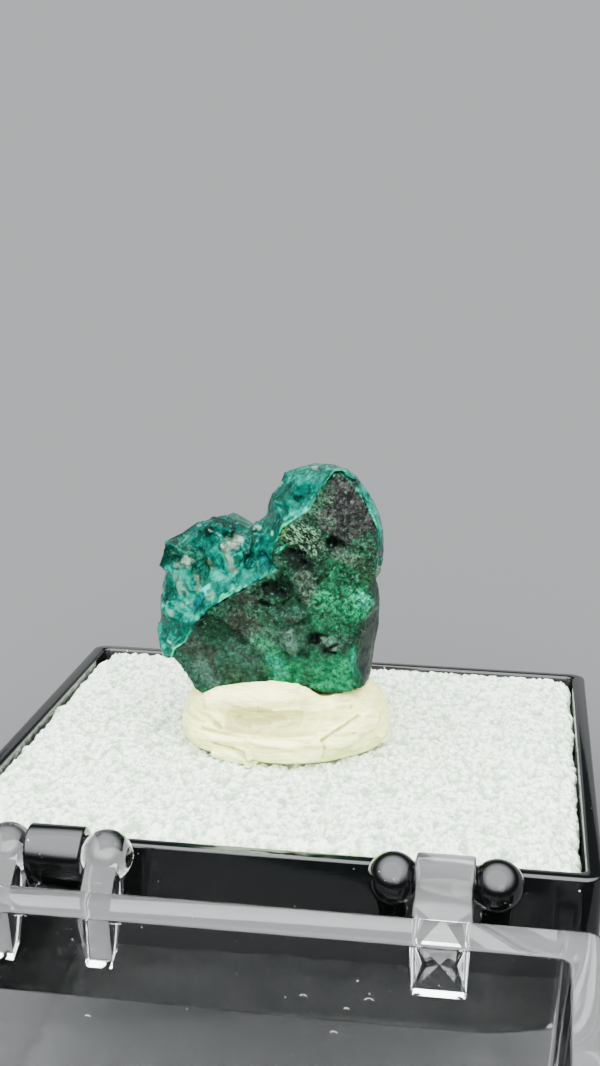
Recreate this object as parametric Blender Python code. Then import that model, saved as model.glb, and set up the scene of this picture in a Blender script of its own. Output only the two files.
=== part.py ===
"""Dioptase on matrix, held by putty on a foam pad in a small hinged display box that lies open.

The clear lid lies flat on its plate and the black tray leans from the hinge down to the table.
Metres, +Z up. The origin is at the middle of the bottom of the open box. X runs along the hinge.
Lengths below are millimetres. Outlines are seen from the hinge side, X to the right and Z up.
"""

import math
import random

import bmesh
import bpy
from mathutils import Matrix, Vector, noise

MM = 0.001

# Box: a square tray and lid that meet at their rims
BOX_WIDTH = 31.75
TRAY_HEIGHT = 8.1
TRAY_WALL = 0.8
TRAY_FLOOR = 1.3
LID_HEIGHT = 21.5
LID_WALL = 1.6
LID_PLATE = 1.7
OUTER_DRAFT = math.radians(0.7)
INNER_DRAFT = math.radians(1.25)
OUTER_CORNER = 0.9
INNER_CORNER = 0.45
RIM_CHAMFER = 0.12
FOOT_CHAMFER = 0.35
CORNER_STEPS = 4

# Hinge: the axis stands out from both walls, a little above the closed rims
AXIS_OUT = 2.34
TRAY_RIM = -0.40
RIM_GAP = 0.15
LID_RIM = -TRAY_RIM - RIM_GAP
HINGE_X = 8.8
BALL_SPACING = 4.6
BALL_RADIUS = 1.19
SOCKET_CLEARANCE = 0.10
KNUCKLE_WIDTH = 2.66
KNUCKLE_RADIUS = 1.22
KNUCKLE_DROP = 6.5
RIB_DROP = 5.75
RIB_TOP_WIDTH = 1.55
RIB_END_WIDTH = 1.20
RIB_FOOT = 1.3
WALL_BITE = 0.3

# Foam pad, slightly proud of the tray's rim inside its chamfered edge
FOAM_HALF = 15.0
FOAM_PROUD = 0.15
FOAM_EDGE = 0.85
FOAM_EDGE_DROP = 0.15
FOAM_FAR_CORNER = 1.7
FOAM_NEAR_CORNER = 0.35
FOAM_GAP = 0.10

# Putty lump, a little to the left of the pad's middle
PUTTY_CENTRE = (-0.97, 0.2)
PUTTY_HALF = (5.58, 5.3)
PUTTY_ANGLES = 40
PUTTY_GAP = 0.06

# Specimen, in millimetres from the middle of the foam's top
FACE_FRONT = -2.9
FACE_LEAN = 0.13
ROCK_GAP = 0.05
SEED = 11

# The open box rests on the lid's plate and on the far bottom edge of the tray
HALF = BOX_WIDTH / 2
TRAY_BOTTOM = TRAY_RIM - TRAY_HEIGHT
TRAY_MIDDLE = AXIS_OUT + HALF
FLOOR_DROP = LID_HEIGHT - LID_RIM
FAR_EDGE = TRAY_MIDDLE + HALF - TRAY_HEIGHT * math.tan(OUTER_DRAFT) - FOOT_CHAMFER
DROOP = math.asin(FLOOR_DROP / math.hypot(FAR_EDGE, TRAY_BOTTOM)) - math.atan2(-TRAY_BOTTOM, FAR_EDGE)
LID_FAR = AXIS_OUT + BOX_WIDTH
TRAY_FAR = LID_FAR * math.cos(DROOP) + (TRAY_RIM - RIM_CHAMFER) * math.sin(DROOP)
AXIS_Y = (LID_FAR - TRAY_FAR) / 2
FOAM_TOP = TRAY_RIM + FOAM_PROUD


def clear_scene():
    for item in list(bpy.data.objects):
        bpy.data.objects.remove(item, do_unlink=True)


def material(name, color, roughness, transmission=0.0, ior=1.5, alpha=1.0):
    made = bpy.data.materials.new(name)
    made.use_nodes = True
    shader = made.node_tree.nodes["Principled BSDF"]
    shader.inputs["Base Color"].default_value = (*color, 1.0)
    shader.inputs["Roughness"].default_value = roughness
    shader.inputs["Metallic"].default_value = 0.0
    shader.inputs["Transmission Weight"].default_value = transmission
    shader.inputs["IOR"].default_value = ior
    shader.inputs["Alpha"].default_value = alpha
    made.diffuse_color = (*color, alpha)
    return made


def empty(name, location, rotation=(0.0, 0.0, 0.0)):
    made = bpy.data.objects.new(name, None)
    made.location = Vector(location) * MM
    made.rotation_euler = rotation
    bpy.context.scene.collection.objects.link(made)
    return made


def solid(name, bm, parent, finish=None, smooth_angle=None):
    """Turn a mesh drawn in millimetres into an object that hangs on its parent."""
    bmesh.ops.recalc_face_normals(bm, faces=bm.faces)
    bmesh.ops.scale(bm, vec=(MM, MM, MM), verts=bm.verts)
    mesh = bpy.data.meshes.new(name)
    bm.to_mesh(mesh)
    bm.free()
    made = bpy.data.objects.new(name, mesh)
    made.parent = parent
    bpy.context.scene.collection.objects.link(made)
    if finish:
        mesh.materials.append(finish)
    if smooth_angle:
        mesh.shade_smooth()
        mesh.set_sharp_from_angle(angle=math.radians(smooth_angle))
    return made


def tool(name, bm, parent):
    """A shape that only joins or cuts another one."""
    made = solid(name, bm, parent)
    made.hide_render = True
    made.display_type = "WIRE"
    return made


def combine(target, other, operation, use_self=False):
    change = target.modifiers.new(other.name, "BOOLEAN")
    change.operation = operation
    change.solver = "EXACT"
    change.use_self = use_self
    change.object = other


def loft(bm, rings):
    """Join rings of equal length into one closed skin, capped at both ends."""
    for lower, upper in zip(rings, rings[1:]):
        for i in range(len(lower)):
            j = (i + 1) % len(lower)
            bm.faces.new((lower[i], lower[j], upper[j], upper[i]))
    bm.faces.new(list(reversed(rings[0])))
    bm.faces.new(rings[-1])


def square_ring(bm, half, corners, middle_y, z):
    """A square with rounded corners, counted from the far right one. Corners is one radius or four."""
    radii = corners if isinstance(corners, tuple) else (corners,) * 4
    signs = ((1, 1), (-1, 1), (-1, -1), (1, -1))
    ring = []
    for quarter, ((sx, sy), radius) in enumerate(zip(signs, radii)):
        for step in range(CORNER_STEPS + 1):
            turn = math.pi / 2 * (quarter + step / CORNER_STEPS)
            x = sx * (half - radius) + radius * math.cos(turn)
            y = sy * (half - radius) + radius * math.sin(turn) + middle_y
            ring.append(bm.verts.new((x, y, z)))
    return ring


def open_box(middle_y, rim, depth, wall, plate, inner_draft, sign):
    """A moulded box from its foot up the outside, over the rim and down the inside."""
    bm = bmesh.new()
    foot = rim - depth
    narrow = HALF - depth * math.tan(OUTER_DRAFT)
    inner = HALF - wall
    deep = inner - (depth - plate) * math.tan(inner_draft)
    levels = (
        (foot, narrow - FOOT_CHAMFER, OUTER_CORNER),
        (foot + FOOT_CHAMFER, narrow, OUTER_CORNER),
        (rim - RIM_CHAMFER, HALF, OUTER_CORNER),
        (rim, HALF - RIM_CHAMFER, OUTER_CORNER),
        (rim, inner + RIM_CHAMFER, INNER_CORNER),
        (rim - RIM_CHAMFER, inner, INNER_CORNER),
        (foot + plate + INNER_CORNER, deep, INNER_CORNER),
        (foot + plate, deep - INNER_CORNER, INNER_CORNER),
    )
    loft(bm, [square_ring(bm, half, corner, sign * middle_y, z) for z, half, corner in levels])
    return bm


def prism(bm, outline, middle_x, top_width, end_width, sign):
    """A rib or knuckle: an outline of (outward, up) points, narrowing evenly from top to end."""
    top = max(z for _, z in outline)
    end = min(z for _, z in outline)
    sides = []
    for side in (-1, 1):
        ring = []
        for y, z in outline:
            width = end_width + (top_width - end_width) * (z - end) / (top - end)
            ring.append(bm.verts.new((middle_x + side * width / 2, sign * y, z)))
        sides.append(ring)
    loft(bm, sides)


def rib_outline(rim):
    """From a ball at the axis to the wall, then down the wall to a blunt end."""
    inside = AXIS_OUT + WALL_BITE
    return (
        (0.15, 0.75),
        (inside, min(rim, 0.0) - 0.15),
        (inside, -RIB_DROP),
        (AXIS_OUT - RIB_FOOT, -RIB_DROP),
        (-0.25, -0.80),
    )


def knuckle_outline(rim):
    """A hook round the axis whose back runs down the wall."""
    inside = AXIS_OUT + WALL_BITE
    arc = []
    for step in range(8):
        turn = math.radians(68 + step * 17)
        arc.append((KNUCKLE_RADIUS * math.cos(turn), KNUCKLE_RADIUS * math.sin(turn)))
    return (
        (inside, min(rim, 0.0) - 0.15),
        *arc,
        (-1.16, -0.45),
        (-0.72, -1.30),
        (AXIS_OUT - RIB_FOOT - 0.1, -KNUCKLE_DROP),
        (inside, -KNUCKLE_DROP),
    )


def balls(middle_x, radius):
    bm = bmesh.new()
    for side in (-1, 1):
        place = Matrix.Translation((middle_x + side * BALL_SPACING / 2, 0, 0))
        turned = place @ Matrix.Rotation(math.pi / 2, 4, "Y")
        bmesh.ops.create_uvsphere(bm, u_segments=16, v_segments=10, radius=radius, matrix=turned)
    return bm


def hinge_half(target, parent, sign, ball_x, rim):
    """Give one half of the box its two balls on ribs at one hinge and its knuckle at the other."""
    name = target.name
    ribs = bmesh.new()
    for side in (-1, 1):
        middle = ball_x + side * BALL_SPACING / 2
        prism(ribs, rib_outline(rim), middle, RIB_TOP_WIDTH, RIB_END_WIDTH, sign)
    prism(ribs, knuckle_outline(rim), -ball_x, KNUCKLE_WIDTH, KNUCKLE_WIDTH * 0.92, sign)
    combine(target, tool(name + "_ribs", ribs, parent), "UNION")
    combine(target, tool(name + "_balls", balls(ball_x, BALL_RADIUS), parent), "UNION")
    sockets = balls(-ball_x, BALL_RADIUS + SOCKET_CLEARANCE)
    combine(target, tool(name + "_sockets", sockets, parent), "DIFFERENCE")


def tray_base(parent):
    bm = open_box(TRAY_MIDDLE, TRAY_RIM, TRAY_HEIGHT, TRAY_WALL, TRAY_FLOOR, OUTER_DRAFT, 1)
    finish = material("black_plastic", (0.012, 0.012, 0.013), 0.12)
    tray = solid("tray_base", bm, parent, finish, 30)
    hinge_half(tray, parent, 1, HINGE_X, TRAY_RIM)


def clear_lid(parent):
    bm = open_box(TRAY_MIDDLE, LID_RIM, LID_HEIGHT, LID_WALL, LID_PLATE, INNER_DRAFT, -1)
    finish = material("clear_plastic", (0.95, 0.97, 0.98), 0.04, 1.0, 1.55, 0.3)
    lid = solid("clear_lid", bm, parent, finish, 30)
    hinge_half(lid, parent, -1, -HINGE_X, LID_RIM)


def foam_pad(parent):
    bm = bmesh.new()
    foot = TRAY_BOTTOM + TRAY_FLOOR + FOAM_GAP
    corners = (FOAM_FAR_CORNER, FOAM_FAR_CORNER, FOAM_NEAR_CORNER, FOAM_NEAR_CORNER)
    inset = tuple(max(radius - FOAM_EDGE, 0.2) for radius in corners)
    levels = (
        (foot, FOAM_HALF - 0.6, inset),
        (foot + 0.6, FOAM_HALF - 0.08, corners),
        (FOAM_TOP - FOAM_EDGE_DROP, FOAM_HALF, corners),
        (FOAM_TOP, FOAM_HALF - FOAM_EDGE, inset),
    )
    loft(bm, [square_ring(bm, half, radii, TRAY_MIDDLE, z) for z, half, radii in levels])
    solid("foam_pad", bm, parent, material("white_foam", (0.90, 0.93, 0.91), 0.9), 30)


def bump(value, middle, width):
    return math.exp(-(((value - middle) / width) ** 2))


def putty_point(turn, rise, spread):
    """A point on the lump: an oval ring, dished in front, with a rolled lip and a fold to the right."""
    front = bump(math.remainder(turn + math.pi / 2, math.tau), 0.0, 0.95)
    fold_at = 2.9 + 0.9 * math.remainder(turn + math.pi / 2, math.tau)
    fold = bump(rise, fold_at, 0.32) * bump(turn, -0.95, 0.5)
    reach = 1.0 - 0.11 * front * bump(rise, 2.15, 0.75) + 0.045 * front * bump(rise, 0.85, 0.45)
    reach += 0.030 * math.sin(2 * turn + 0.6) + 0.018 * math.sin(5 * turn + 2.0) - 0.08 * fold
    x = PUTTY_CENTRE[0] + PUTTY_HALF[0] * spread * reach * math.cos(turn)
    y = PUTTY_CENTRE[1] + PUTTY_HALF[1] * spread * reach * math.sin(turn)
    return x, y, rise


def mineral_putty(parent, seat):
    bm = bmesh.new()
    levels = (
        (0.08, 0.93), (0.30, 0.97), (0.75, 0.995), (1.30, 1.00), (1.90, 0.985),
        (2.45, 0.95), (2.95, 0.885), (3.40, 0.78), (3.75, 0.62), (3.98, 0.40),
    )
    rings = []
    for rise, spread in levels:
        ring = []
        for step in range(PUTTY_ANGLES):
            turn = math.tau * step / PUTTY_ANGLES - math.pi
            ring.append(bm.verts.new(putty_point(turn, rise, spread)))
        rings.append(ring)
    loft(bm, rings)
    bmesh.ops.triangulate(bm, faces=[face for face in bm.faces if len(face.verts) > 4])
    putty = solid("mineral_putty", bm, parent, material("ivory_putty", (0.86, 0.83, 0.70), 0.45), 50)
    combine(putty, seat, "DIFFERENCE")


# Each row: the edge of the matrix face, then the outline half way back and at the widest section
SECTIONS = (
    ((1.84, 15.25), (1.8, 15.35), (1.5, 15.10)),
    ((2.54, 14.81), (2.6, 14.80), (2.4, 14.60)),
    ((3.40, 13.14), (3.6, 13.20), (3.5, 13.10)),
    ((3.87, 12.19), (4.0, 12.00), (3.95, 11.60)),
    ((3.89, 10.27), (4.0, 10.10), (3.9, 9.80)),
    ((3.57, 9.28), (3.8, 9.00), (3.75, 8.60)),
    ((3.77, 8.70), (3.95, 7.90), (3.9, 7.40)),
    ((3.16, 7.07), (3.7, 6.40), (3.85, 6.00)),
    ((2.83, 4.84), (3.5, 4.70), (3.65, 4.60)),
    ((3.41, 3.83), (3.5, 3.60), (3.4, 3.30)),
    ((1.62, 3.38), (1.7, 3.10), (1.7, 2.95)),
    ((-0.01, 3.82), (-0.1, 3.30), (-0.2, 3.00)),
    ((-2.12, 3.48), (-2.2, 3.10), (-2.3, 2.90)),
    ((-5.24, 3.02), (-5.3, 2.90), (-5.2, 2.90)),
    ((-5.64, 3.43), (-6.2, 3.30), (-6.4, 3.20)),
    ((-6.96, 4.85), (-7.6, 4.50), (-8.1, 4.15)),
    ((-6.86, 5.24), (-8.0, 5.50), (-8.44, 5.50)),
    ((-6.22, 5.76), (-8.0, 7.00), (-8.38, 7.20)),
    ((-5.86, 6.65), (-7.8, 8.60), (-8.10, 8.80)),
    ((-5.02, 7.56), (-7.6, 9.90), (-8.17, 10.40)),
    ((-3.80, 8.38), (-6.0, 10.60), (-6.30, 11.60)),
    ((-2.57, 9.06), (-4.3, 10.90), (-4.80, 12.10)),
    ((-1.36, 9.85), (-3.0, 10.80), (-3.60, 11.45)),
    ((-1.77, 10.68), (-2.2, 11.50), (-2.45, 12.25)),
    ((-1.23, 12.07), (-1.7, 12.90), (-2.20, 13.40)),
    ((0.23, 13.12), (-0.8, 14.10), (-1.50, 14.60)),
    ((0.77, 14.22), (0.1, 14.90), (-0.50, 15.10)),
    ((1.47, 15.23), (1.0, 15.35), (0.60, 15.25)),
)
SPECIMEN_MIDDLE = (-1.6, 8.2)
FACE_MIDDLE = (0.3, 7.2)
ROCK_SIDE = range(5, 15)
LOBE = range(16, 23)
WIDEST = 1.3

# Crystals that stand out of the left lobe and the peak: place, axis, radius, rise, spin
LARGE_CRYSTALS = (
    ((-7.3, -0.1, 10.3), (-0.55, -0.45, 0.75), 1.25, 0.75, 0.1),
    ((-4.9, 0.3, 11.2), (0.10, -0.30, 1.0), 1.45, 0.85, 0.5),
    ((-6.5, -0.7, 9.0), (-0.25, -0.90, 0.45), 1.35, 0.75, 0.9),
    ((-3.9, -0.7, 10.2), (0.15, -0.95, 0.45), 1.05, 0.70, 0.3),
    ((-7.2, -0.5, 7.1), (-0.55, -0.80, 0.15), 1.00, 0.55, 0.7),
    ((-7.3, -0.6, 5.6), (-0.70, -0.60, -0.2), 0.75, 0.40, 0.2),
    ((-6.0, 2.8, 10.6), (-0.40, 0.60, 0.9), 1.20, 0.80, 0.4),
    ((-2.6, -0.5, 11.3), (-0.10, -0.60, 0.8), 0.75, 0.45, 0.6),
    ((-1.5, 0.2, 13.0), (-0.70, -0.50, 0.5), 0.90, 0.50, 0.1),
    ((-0.4, 0.0, 14.4), (-0.50, -0.30, 0.8), 0.95, 0.50, 0.8),
    ((1.4, 1.2, 14.6), (0.20, 0.10, 1.0), 1.10, 0.50, 0.3),
    ((3.1, 1.9, 12.6), (0.90, 0.35, 0.5), 1.00, 0.50, 0.5),
)
CRYSTAL_LENGTH = 2.4
SMALL_CRYSTALS = 54
TIP_SLOPE = 0.7

# Seen from the hinge side, a millimetre further back looks this much further right and up
SIGHT_RIGHT = 0.13
SIGHT_UP = 0.22


def face_depth(z):
    return FACE_FRONT + FACE_LEAN * z


def pulled(point, share, middle=SPECIMEN_MIDDLE):
    """A point drawn towards the middle of the specimen or of its flat face."""
    return tuple(centre + (value - centre) * share for value, centre in zip(point, middle))


def skin(bm, rings, cuts, amount, scale, swell):
    """Close a stack of rings of (x, depth, z) points, make it uneven and grow it by swell."""
    loft(bm, [[bm.verts.new(point) for point in ring] for ring in rings])
    bmesh.ops.recalc_face_normals(bm, faces=bm.faces)
    bmesh.ops.triangulate(bm, faces=bm.faces)
    bmesh.ops.subdivide_edges(bm, edges=bm.edges, cuts=cuts, use_grid_fill=True)
    bm.normal_update()
    moves = []
    for vert in bm.verts:
        lift = noise.noise(vert.co * scale) + 0.5 * noise.noise(vert.co * scale * 2.3)
        moves.append(vert.normal * (lift * amount + swell))
    for vert, move in zip(bm.verts, moves):
        vert.co += move


def at_depth(outline, depth):
    return [(x, depth, z) for x, z in outline]


def specimen_envelope(swell):
    """Rock and crystals together, which press their seat into the putty."""
    bm = bmesh.new()
    face, near, wide = zip(*SECTIONS)
    rings = [
        [(x, face_depth(z), z) for x, z in face],
        [(x, 0.05 * z - 0.7, z) for x, z in near],
        at_depth(wide, WIDEST),
        at_depth([pulled(point, 0.97) for point in wide], 3.1),
        at_depth([pulled(point, 0.75) for point in wide], 4.7),
    ]
    skin(bm, rings, 1, 0.05, 1.0, swell)
    return bm


def matrix_wedge(swell):
    """The rock: its whole foot and right side, thinning to nothing behind the crystal border."""
    bm = bmesh.new()
    rings = [[], [], [], [], [], []]
    for i, (face, near, wide) in enumerate(SECTIONS):
        row = []
        for share in (0.36, 0.72, 1.0):
            x, z = pulled(face, share, FACE_MIDDLE)
            row.append(((x, z), face_depth(z)))
        if i in ROCK_SIDE:
            row += [(near, -0.3), (pulled(wide, 0.995), 1.7), (pulled(wide, 0.7), 2.6)]
        else:
            row += [
                (pulled(face, 0.96, FACE_MIDDLE), face_depth(face[1]) + 0.5),
                (pulled(face, 0.80, FACE_MIDDLE), 1.0),
                (pulled(face, 0.55, FACE_MIDDLE), 2.3),
            ]
        for ring, ((x, z), y) in zip(rings, row):
            ring.append((x, y, z))
    skin(bm, rings, 1, 0.11, 1.3, swell)
    return bm


def crystal_bed():
    """What the crystals have grown into: it starts at the matrix border and covers the whole back."""
    bm = bmesh.new()
    rings = [[], [], [], [], [], [], []]
    for i, (face, near, wide) in enumerate(SECTIONS):
        depth = face_depth(face[1])
        if i in ROCK_SIDE:
            row = (
                (pulled(near, 0.60), 0.2),
                (pulled(near, 0.76), 0.8),
                (pulled(wide, 0.84), 1.5),
                (pulled(wide, 0.95), 2.2),
                (pulled(wide, 0.97), 2.8),
            )
        else:
            row = (
                (pulled(face, 0.60, FACE_MIDDLE), 0.0),
                (pulled(face, 0.90, FACE_MIDDLE), depth + 0.4),
                (pulled(face, 1.01, FACE_MIDDLE), depth + 0.15),
                (near, 0.05 * near[1] - (0.25 if i in LOBE else 0.7)),
                (wide, WIDEST),
            )
        row += ((pulled(wide, 0.95), 3.2), (pulled(wide, 0.72), 4.5))
        for ring, ((x, z), y) in zip(rings, row):
            ring.append((x, y, z))
    skin(bm, rings, 1, 0.15, 1.1, 0.0)
    return bm


def outline_share(point):
    """How far out a point lies: 1 on the outline that is seen from the hinge side."""
    x = point.x + (point.y - WIDEST) * SIGHT_RIGHT - SPECIMEN_MIDDLE[0]
    z = point.z + (point.y - WIDEST) * SIGHT_UP - SPECIMEN_MIDDLE[1]
    angle = math.atan2(z, x)
    rim = [wide for _, _, wide in SECTIONS]
    for (x0, z0), (x1, z1) in zip(rim, rim[1:] + rim[:1]):
        x0, x1 = x0 - SPECIMEN_MIDDLE[0], x1 - SPECIMEN_MIDDLE[0]
        z0, z1 = z0 - SPECIMEN_MIDDLE[1], z1 - SPECIMEN_MIDDLE[1]
        start = math.remainder(math.atan2(z0, x0) - angle, math.tau)
        end = math.remainder(math.atan2(z1, x1) - angle, math.tau)
        if start * end <= 0 and abs(start - end) < math.pi:
            part = start / (start - end) if start != end else 0.0
            return math.hypot(x, z) / math.hypot(x0 + (x1 - x0) * part, z0 + (z1 - z0) * part)
    return 0.0


def add_crystal(bm, place, axis, radius, rise, spin):
    """A stubby six-sided crystal that rises from its place, its tip kept inside the outline.

    Its far end has three rhombic faces.
    """
    axis = Vector(axis).normalized()
    length = CRYSTAL_LENGTH * radius
    middle = Vector(place) + axis * (rise - length / 2)
    for _ in range(12):
        tip = middle + axis * length / 2
        if max(outline_share(tip), outline_share(tip - axis * radius) + 0.03) <= 1.0:
            break
        middle -= axis * 0.1
    turn = axis.to_track_quat("Z", "Y").to_matrix().to_4x4()
    place = Matrix.Translation(middle) @ turn @ Matrix.Rotation(spin, 4, "Z")
    foot, shoulder = [], []
    for corner in range(6):
        angle = math.tau * corner / 6
        x, y = radius * math.cos(angle), radius * math.sin(angle)
        drop = TIP_SLOPE * radius * (1 + corner % 2)
        foot.append(bm.verts.new(place @ Vector((x, y, -length / 2))))
        shoulder.append(bm.verts.new(place @ Vector((x, y, length / 2 - drop))))
    tip = bm.verts.new(place @ Vector((0, 0, length / 2)))
    bm.faces.new(list(reversed(foot)))
    for corner in range(6):
        other = (corner + 1) % 6
        bm.faces.new((foot[corner], foot[other], shoulder[other], shoulder[corner]))
    for corner in (0, 2, 4):
        sides = (shoulder[corner], shoulder[corner + 1], shoulder[(corner + 2) % 6])
        bm.faces.new((tip, *sides))


def small_crystals(bm, bed):
    """Scatter small crystals over the back, the sides and the top, none of them in front."""
    draw = random.Random(SEED)
    places = [face for face in bed.faces if face.normal.z > -0.6]
    places = [face for face in places if face.calc_center_median().y > 0.9]
    places = [face for face in places if face.calc_center_median().z > 5.2]
    for face in draw.sample(places, SMALL_CRYSTALS):
        lean = Vector([draw.uniform(-0.4, 0.4) for _ in range(3)])
        axis = (face.normal + lean).normalized()
        radius = draw.uniform(0.50, 0.95)
        rise = radius * (draw.uniform(0.85, 1.2) + 0.5 * max(face.normal.y, 0.0))
        add_crystal(bm, face.calc_center_median(), axis, radius, rise, draw.uniform(0.0, 1.0))


def dioptase_crystals(parent):
    finish = material("dioptase", (0.0, 0.32, 0.28), 0.15, 0.3, 1.65)
    bed = crystal_bed()
    crystals = bmesh.new()
    small_crystals(crystals, bed)
    for row in LARGE_CRYSTALS:
        add_crystal(crystals, *row)
    crust = solid("dioptase_crystals", bed, parent, finish)
    combine(crust, tool("grown_crystals", crystals, parent), "UNION", use_self=True)
    combine(crust, tool("rock_seat", matrix_wedge(ROCK_GAP), parent), "DIFFERENCE")


def main():
    clear_scene()
    axis = (0.0, AXIS_Y, FLOOR_DROP)
    tray_frame = empty("tray_frame", axis, (-DROOP, 0.0, 0.0))
    lid_frame = empty("lid_frame", axis)
    stone_frame = empty("stone_frame", (0.0, TRAY_MIDDLE, FOAM_TOP))
    stone_frame.parent = tray_frame
    tray_base(tray_frame)
    clear_lid(lid_frame)
    foam_pad(tray_frame)
    seat = tool("putty_seat", specimen_envelope(PUTTY_GAP), stone_frame)
    mineral_putty(stone_frame, seat)
    rock = material("green_grey_rock", (0.10, 0.16, 0.12), 0.8)
    solid("host_rock", matrix_wedge(0.0), stone_frame, rock)
    dioptase_crystals(stone_frame)


main()
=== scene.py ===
"""Dioptase on matrix in a small hinged display box that lies open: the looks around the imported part.

Pieces are shaped in millimetres, in the frame of the tray, the lid or the stone, and are then
placed in the row frame in metres. Patterns on the stone, the putty and the foam are laid out in
the stone's frame: x to the right, y away from the hinge, z up from the middle of the foam's top.
"""

import math

import bpy
import numpy as np
from mathutils import Matrix, Vector, noise


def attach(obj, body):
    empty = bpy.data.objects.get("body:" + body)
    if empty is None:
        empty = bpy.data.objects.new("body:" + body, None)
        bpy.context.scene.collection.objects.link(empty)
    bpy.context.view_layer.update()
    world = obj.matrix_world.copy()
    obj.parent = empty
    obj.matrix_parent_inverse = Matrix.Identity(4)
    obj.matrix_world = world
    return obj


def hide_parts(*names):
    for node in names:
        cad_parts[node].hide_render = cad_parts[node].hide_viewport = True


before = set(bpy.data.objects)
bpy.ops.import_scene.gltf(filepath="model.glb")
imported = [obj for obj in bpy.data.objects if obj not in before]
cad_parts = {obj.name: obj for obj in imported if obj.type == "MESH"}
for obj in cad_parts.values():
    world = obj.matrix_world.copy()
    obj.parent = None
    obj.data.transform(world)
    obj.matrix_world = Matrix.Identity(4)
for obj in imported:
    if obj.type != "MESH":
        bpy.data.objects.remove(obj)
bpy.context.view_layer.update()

# Without a seed of its own the vector noise takes one from the clock
noise.seed_set(5)

MM = 0.001

# Mineral colours are laid on this much purer and darker than they should look
PURER, DARKER = 1.45, 0.30

# The box, as in the part's source
HALF = 31.75 / 2
TRAY_HEIGHT, TRAY_WALL, TRAY_FLOOR = 8.1, 0.8, 1.3
LID_HEIGHT, LID_WALL, LID_PLATE = 21.5, 1.6, 1.7
OUTER_DRAFT, INNER_DRAFT = math.radians(0.7), math.radians(1.25)
OUTER_CORNER, INNER_CORNER = 0.9, 0.45
AXIS_OUT = 2.34
TRAY_RIM, LID_RIM = -0.40, 0.25
TRAY_MIDDLE = AXIS_OUT + HALF
FOAM_TOP = TRAY_RIM + 0.15
HINGE_X, BALL_SPACING, BALL_RADIUS, SOCKET_CLEARANCE = 8.8, 4.6, 1.19, 0.10
AXIS_Y, AXIS_Z = 1.5278, LID_HEIGHT - LID_RIM
DROOP = math.radians(23.58488)

# The rounded rim and the feet of the outer and inner walls
RIM_ROUND, FOOT_ROUND, INNER_FOOT_ROUND = 0.15, 0.50, 0.36

# Ribs and knuckles, measured from the hinge axis; widths are at the top and at the end
RIB_END, RIB_WIDTHS, RIB_EASE = -4.0, (1.55, 1.20), 0.10
KNUCKLE_RADIUS, KNUCKLE_WIDTHS, KNUCKLE_EASE = 1.22, (2.66, 2.45), 0.14
FACET_TOP, FACET_DEPTH = -2.1, 0.6
INTO_WALL, UNDER_RIM = 0.3, 0.15

HINGE_PLACE = Matrix.Translation((0, AXIS_Y * MM, AXIS_Z * MM))
LEAN = Matrix.Rotation(-DROOP, 4, "X")
LID_PLACE = HINGE_PLACE @ Matrix.Scale(MM, 4)
TRAY_PLACE = LID_PLACE @ LEAN
STONE_PLACE = TRAY_PLACE @ Matrix.Translation((0, TRAY_MIDDLE, FOAM_TOP))

# Edges of the plastic look sharp from this many degrees
SHARP_FROM = 32

# How fine the meshes of the putty, the rock and the crust are
PUTTY_FINENESS, ROCK_FINENESS, CRUST_FINENESS = 0.07, 0.075, 0.08

# The rock's flat face leans back a little
FACE_FRONT, FACE_LEAN = -2.9, 0.13
# Streaks in the crust run up to the right, the needles on the rock down to the right
UPHILL, DOWNHILL = math.radians(58), math.radians(-35)


# Modelling by hand

def only(piece):
    """Leave edit mode and select this piece alone."""
    if bpy.context.object and bpy.context.object.mode != "OBJECT":
        bpy.ops.object.mode_set(mode="OBJECT")
    bpy.ops.object.select_all(action="DESELECT")
    piece.select_set(True)
    bpy.context.view_layer.objects.active = piece


def add(primitive, **settings):
    """Add a primitive with nothing else selected."""
    bpy.ops.object.select_all(action="DESELECT")
    primitive(**settings)
    return bpy.context.object


def pick(piece, kind, test):
    """Enter edit mode with the faces, edges or vertices selected whose place passes the test."""
    only(piece)
    mesh = piece.data
    for part in (mesh.vertices, mesh.edges, mesh.polygons):
        part.foreach_set("select", [False] * len(part))
    if kind == "FACE":
        for face in mesh.polygons:
            face.select = test(face.center, face.normal)
    elif kind == "EDGE":
        for edge in mesh.edges:
            start, end = (mesh.vertices[i].co for i in edge.vertices)
            edge.select = test(start, end)
    else:
        for vert in mesh.vertices:
            vert.select = test(vert.co)
    bpy.ops.object.mode_set(mode="EDIT")
    bpy.ops.mesh.select_mode(type=kind)


def done(piece):
    bpy.ops.object.mode_set(mode="OBJECT")
    return piece


def apply(piece, kind, **settings):
    """Add a modifier with these settings and apply it."""
    only(piece)
    change = piece.modifiers.new(kind.lower(), kind)
    for name, value in settings.items():
        setattr(change, name, value)
    bpy.ops.object.modifier_apply(modifier=change.name)


def cut_or_join(piece, other, operation):
    """Join a second closed shape to the piece, or cut it away, and remove the second shape."""
    apply(piece, "BOOLEAN", operation=operation, solver="EXACT", object=other)
    bpy.data.objects.remove(other, do_unlink=True)


def place(piece, matrix):
    """Lay the finished mesh into the row frame and leave the object at the origin."""
    only(piece)
    bpy.ops.object.transform_apply(location=True, rotation=True, scale=True)
    piece.data.transform(matrix)
    piece.data.update()


def copy_of(node, name, matrix):
    """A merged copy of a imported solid, back in the millimetres of its own frame."""
    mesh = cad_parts[node].data.copy()
    mesh.name = name
    piece = bpy.data.objects.new(name, mesh)
    bpy.context.scene.collection.objects.link(piece)
    mesh.materials.clear()
    mesh.transform(matrix.inverted())
    if "custom_normal" in mesh.attributes:
        mesh.attributes.remove(mesh.attributes["custom_normal"])
    pick(piece, "VERT", lambda point: True)
    bpy.ops.mesh.remove_doubles(threshold=0.004)
    bpy.ops.mesh.normals_make_consistent(inside=False)
    return done(piece)


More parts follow.
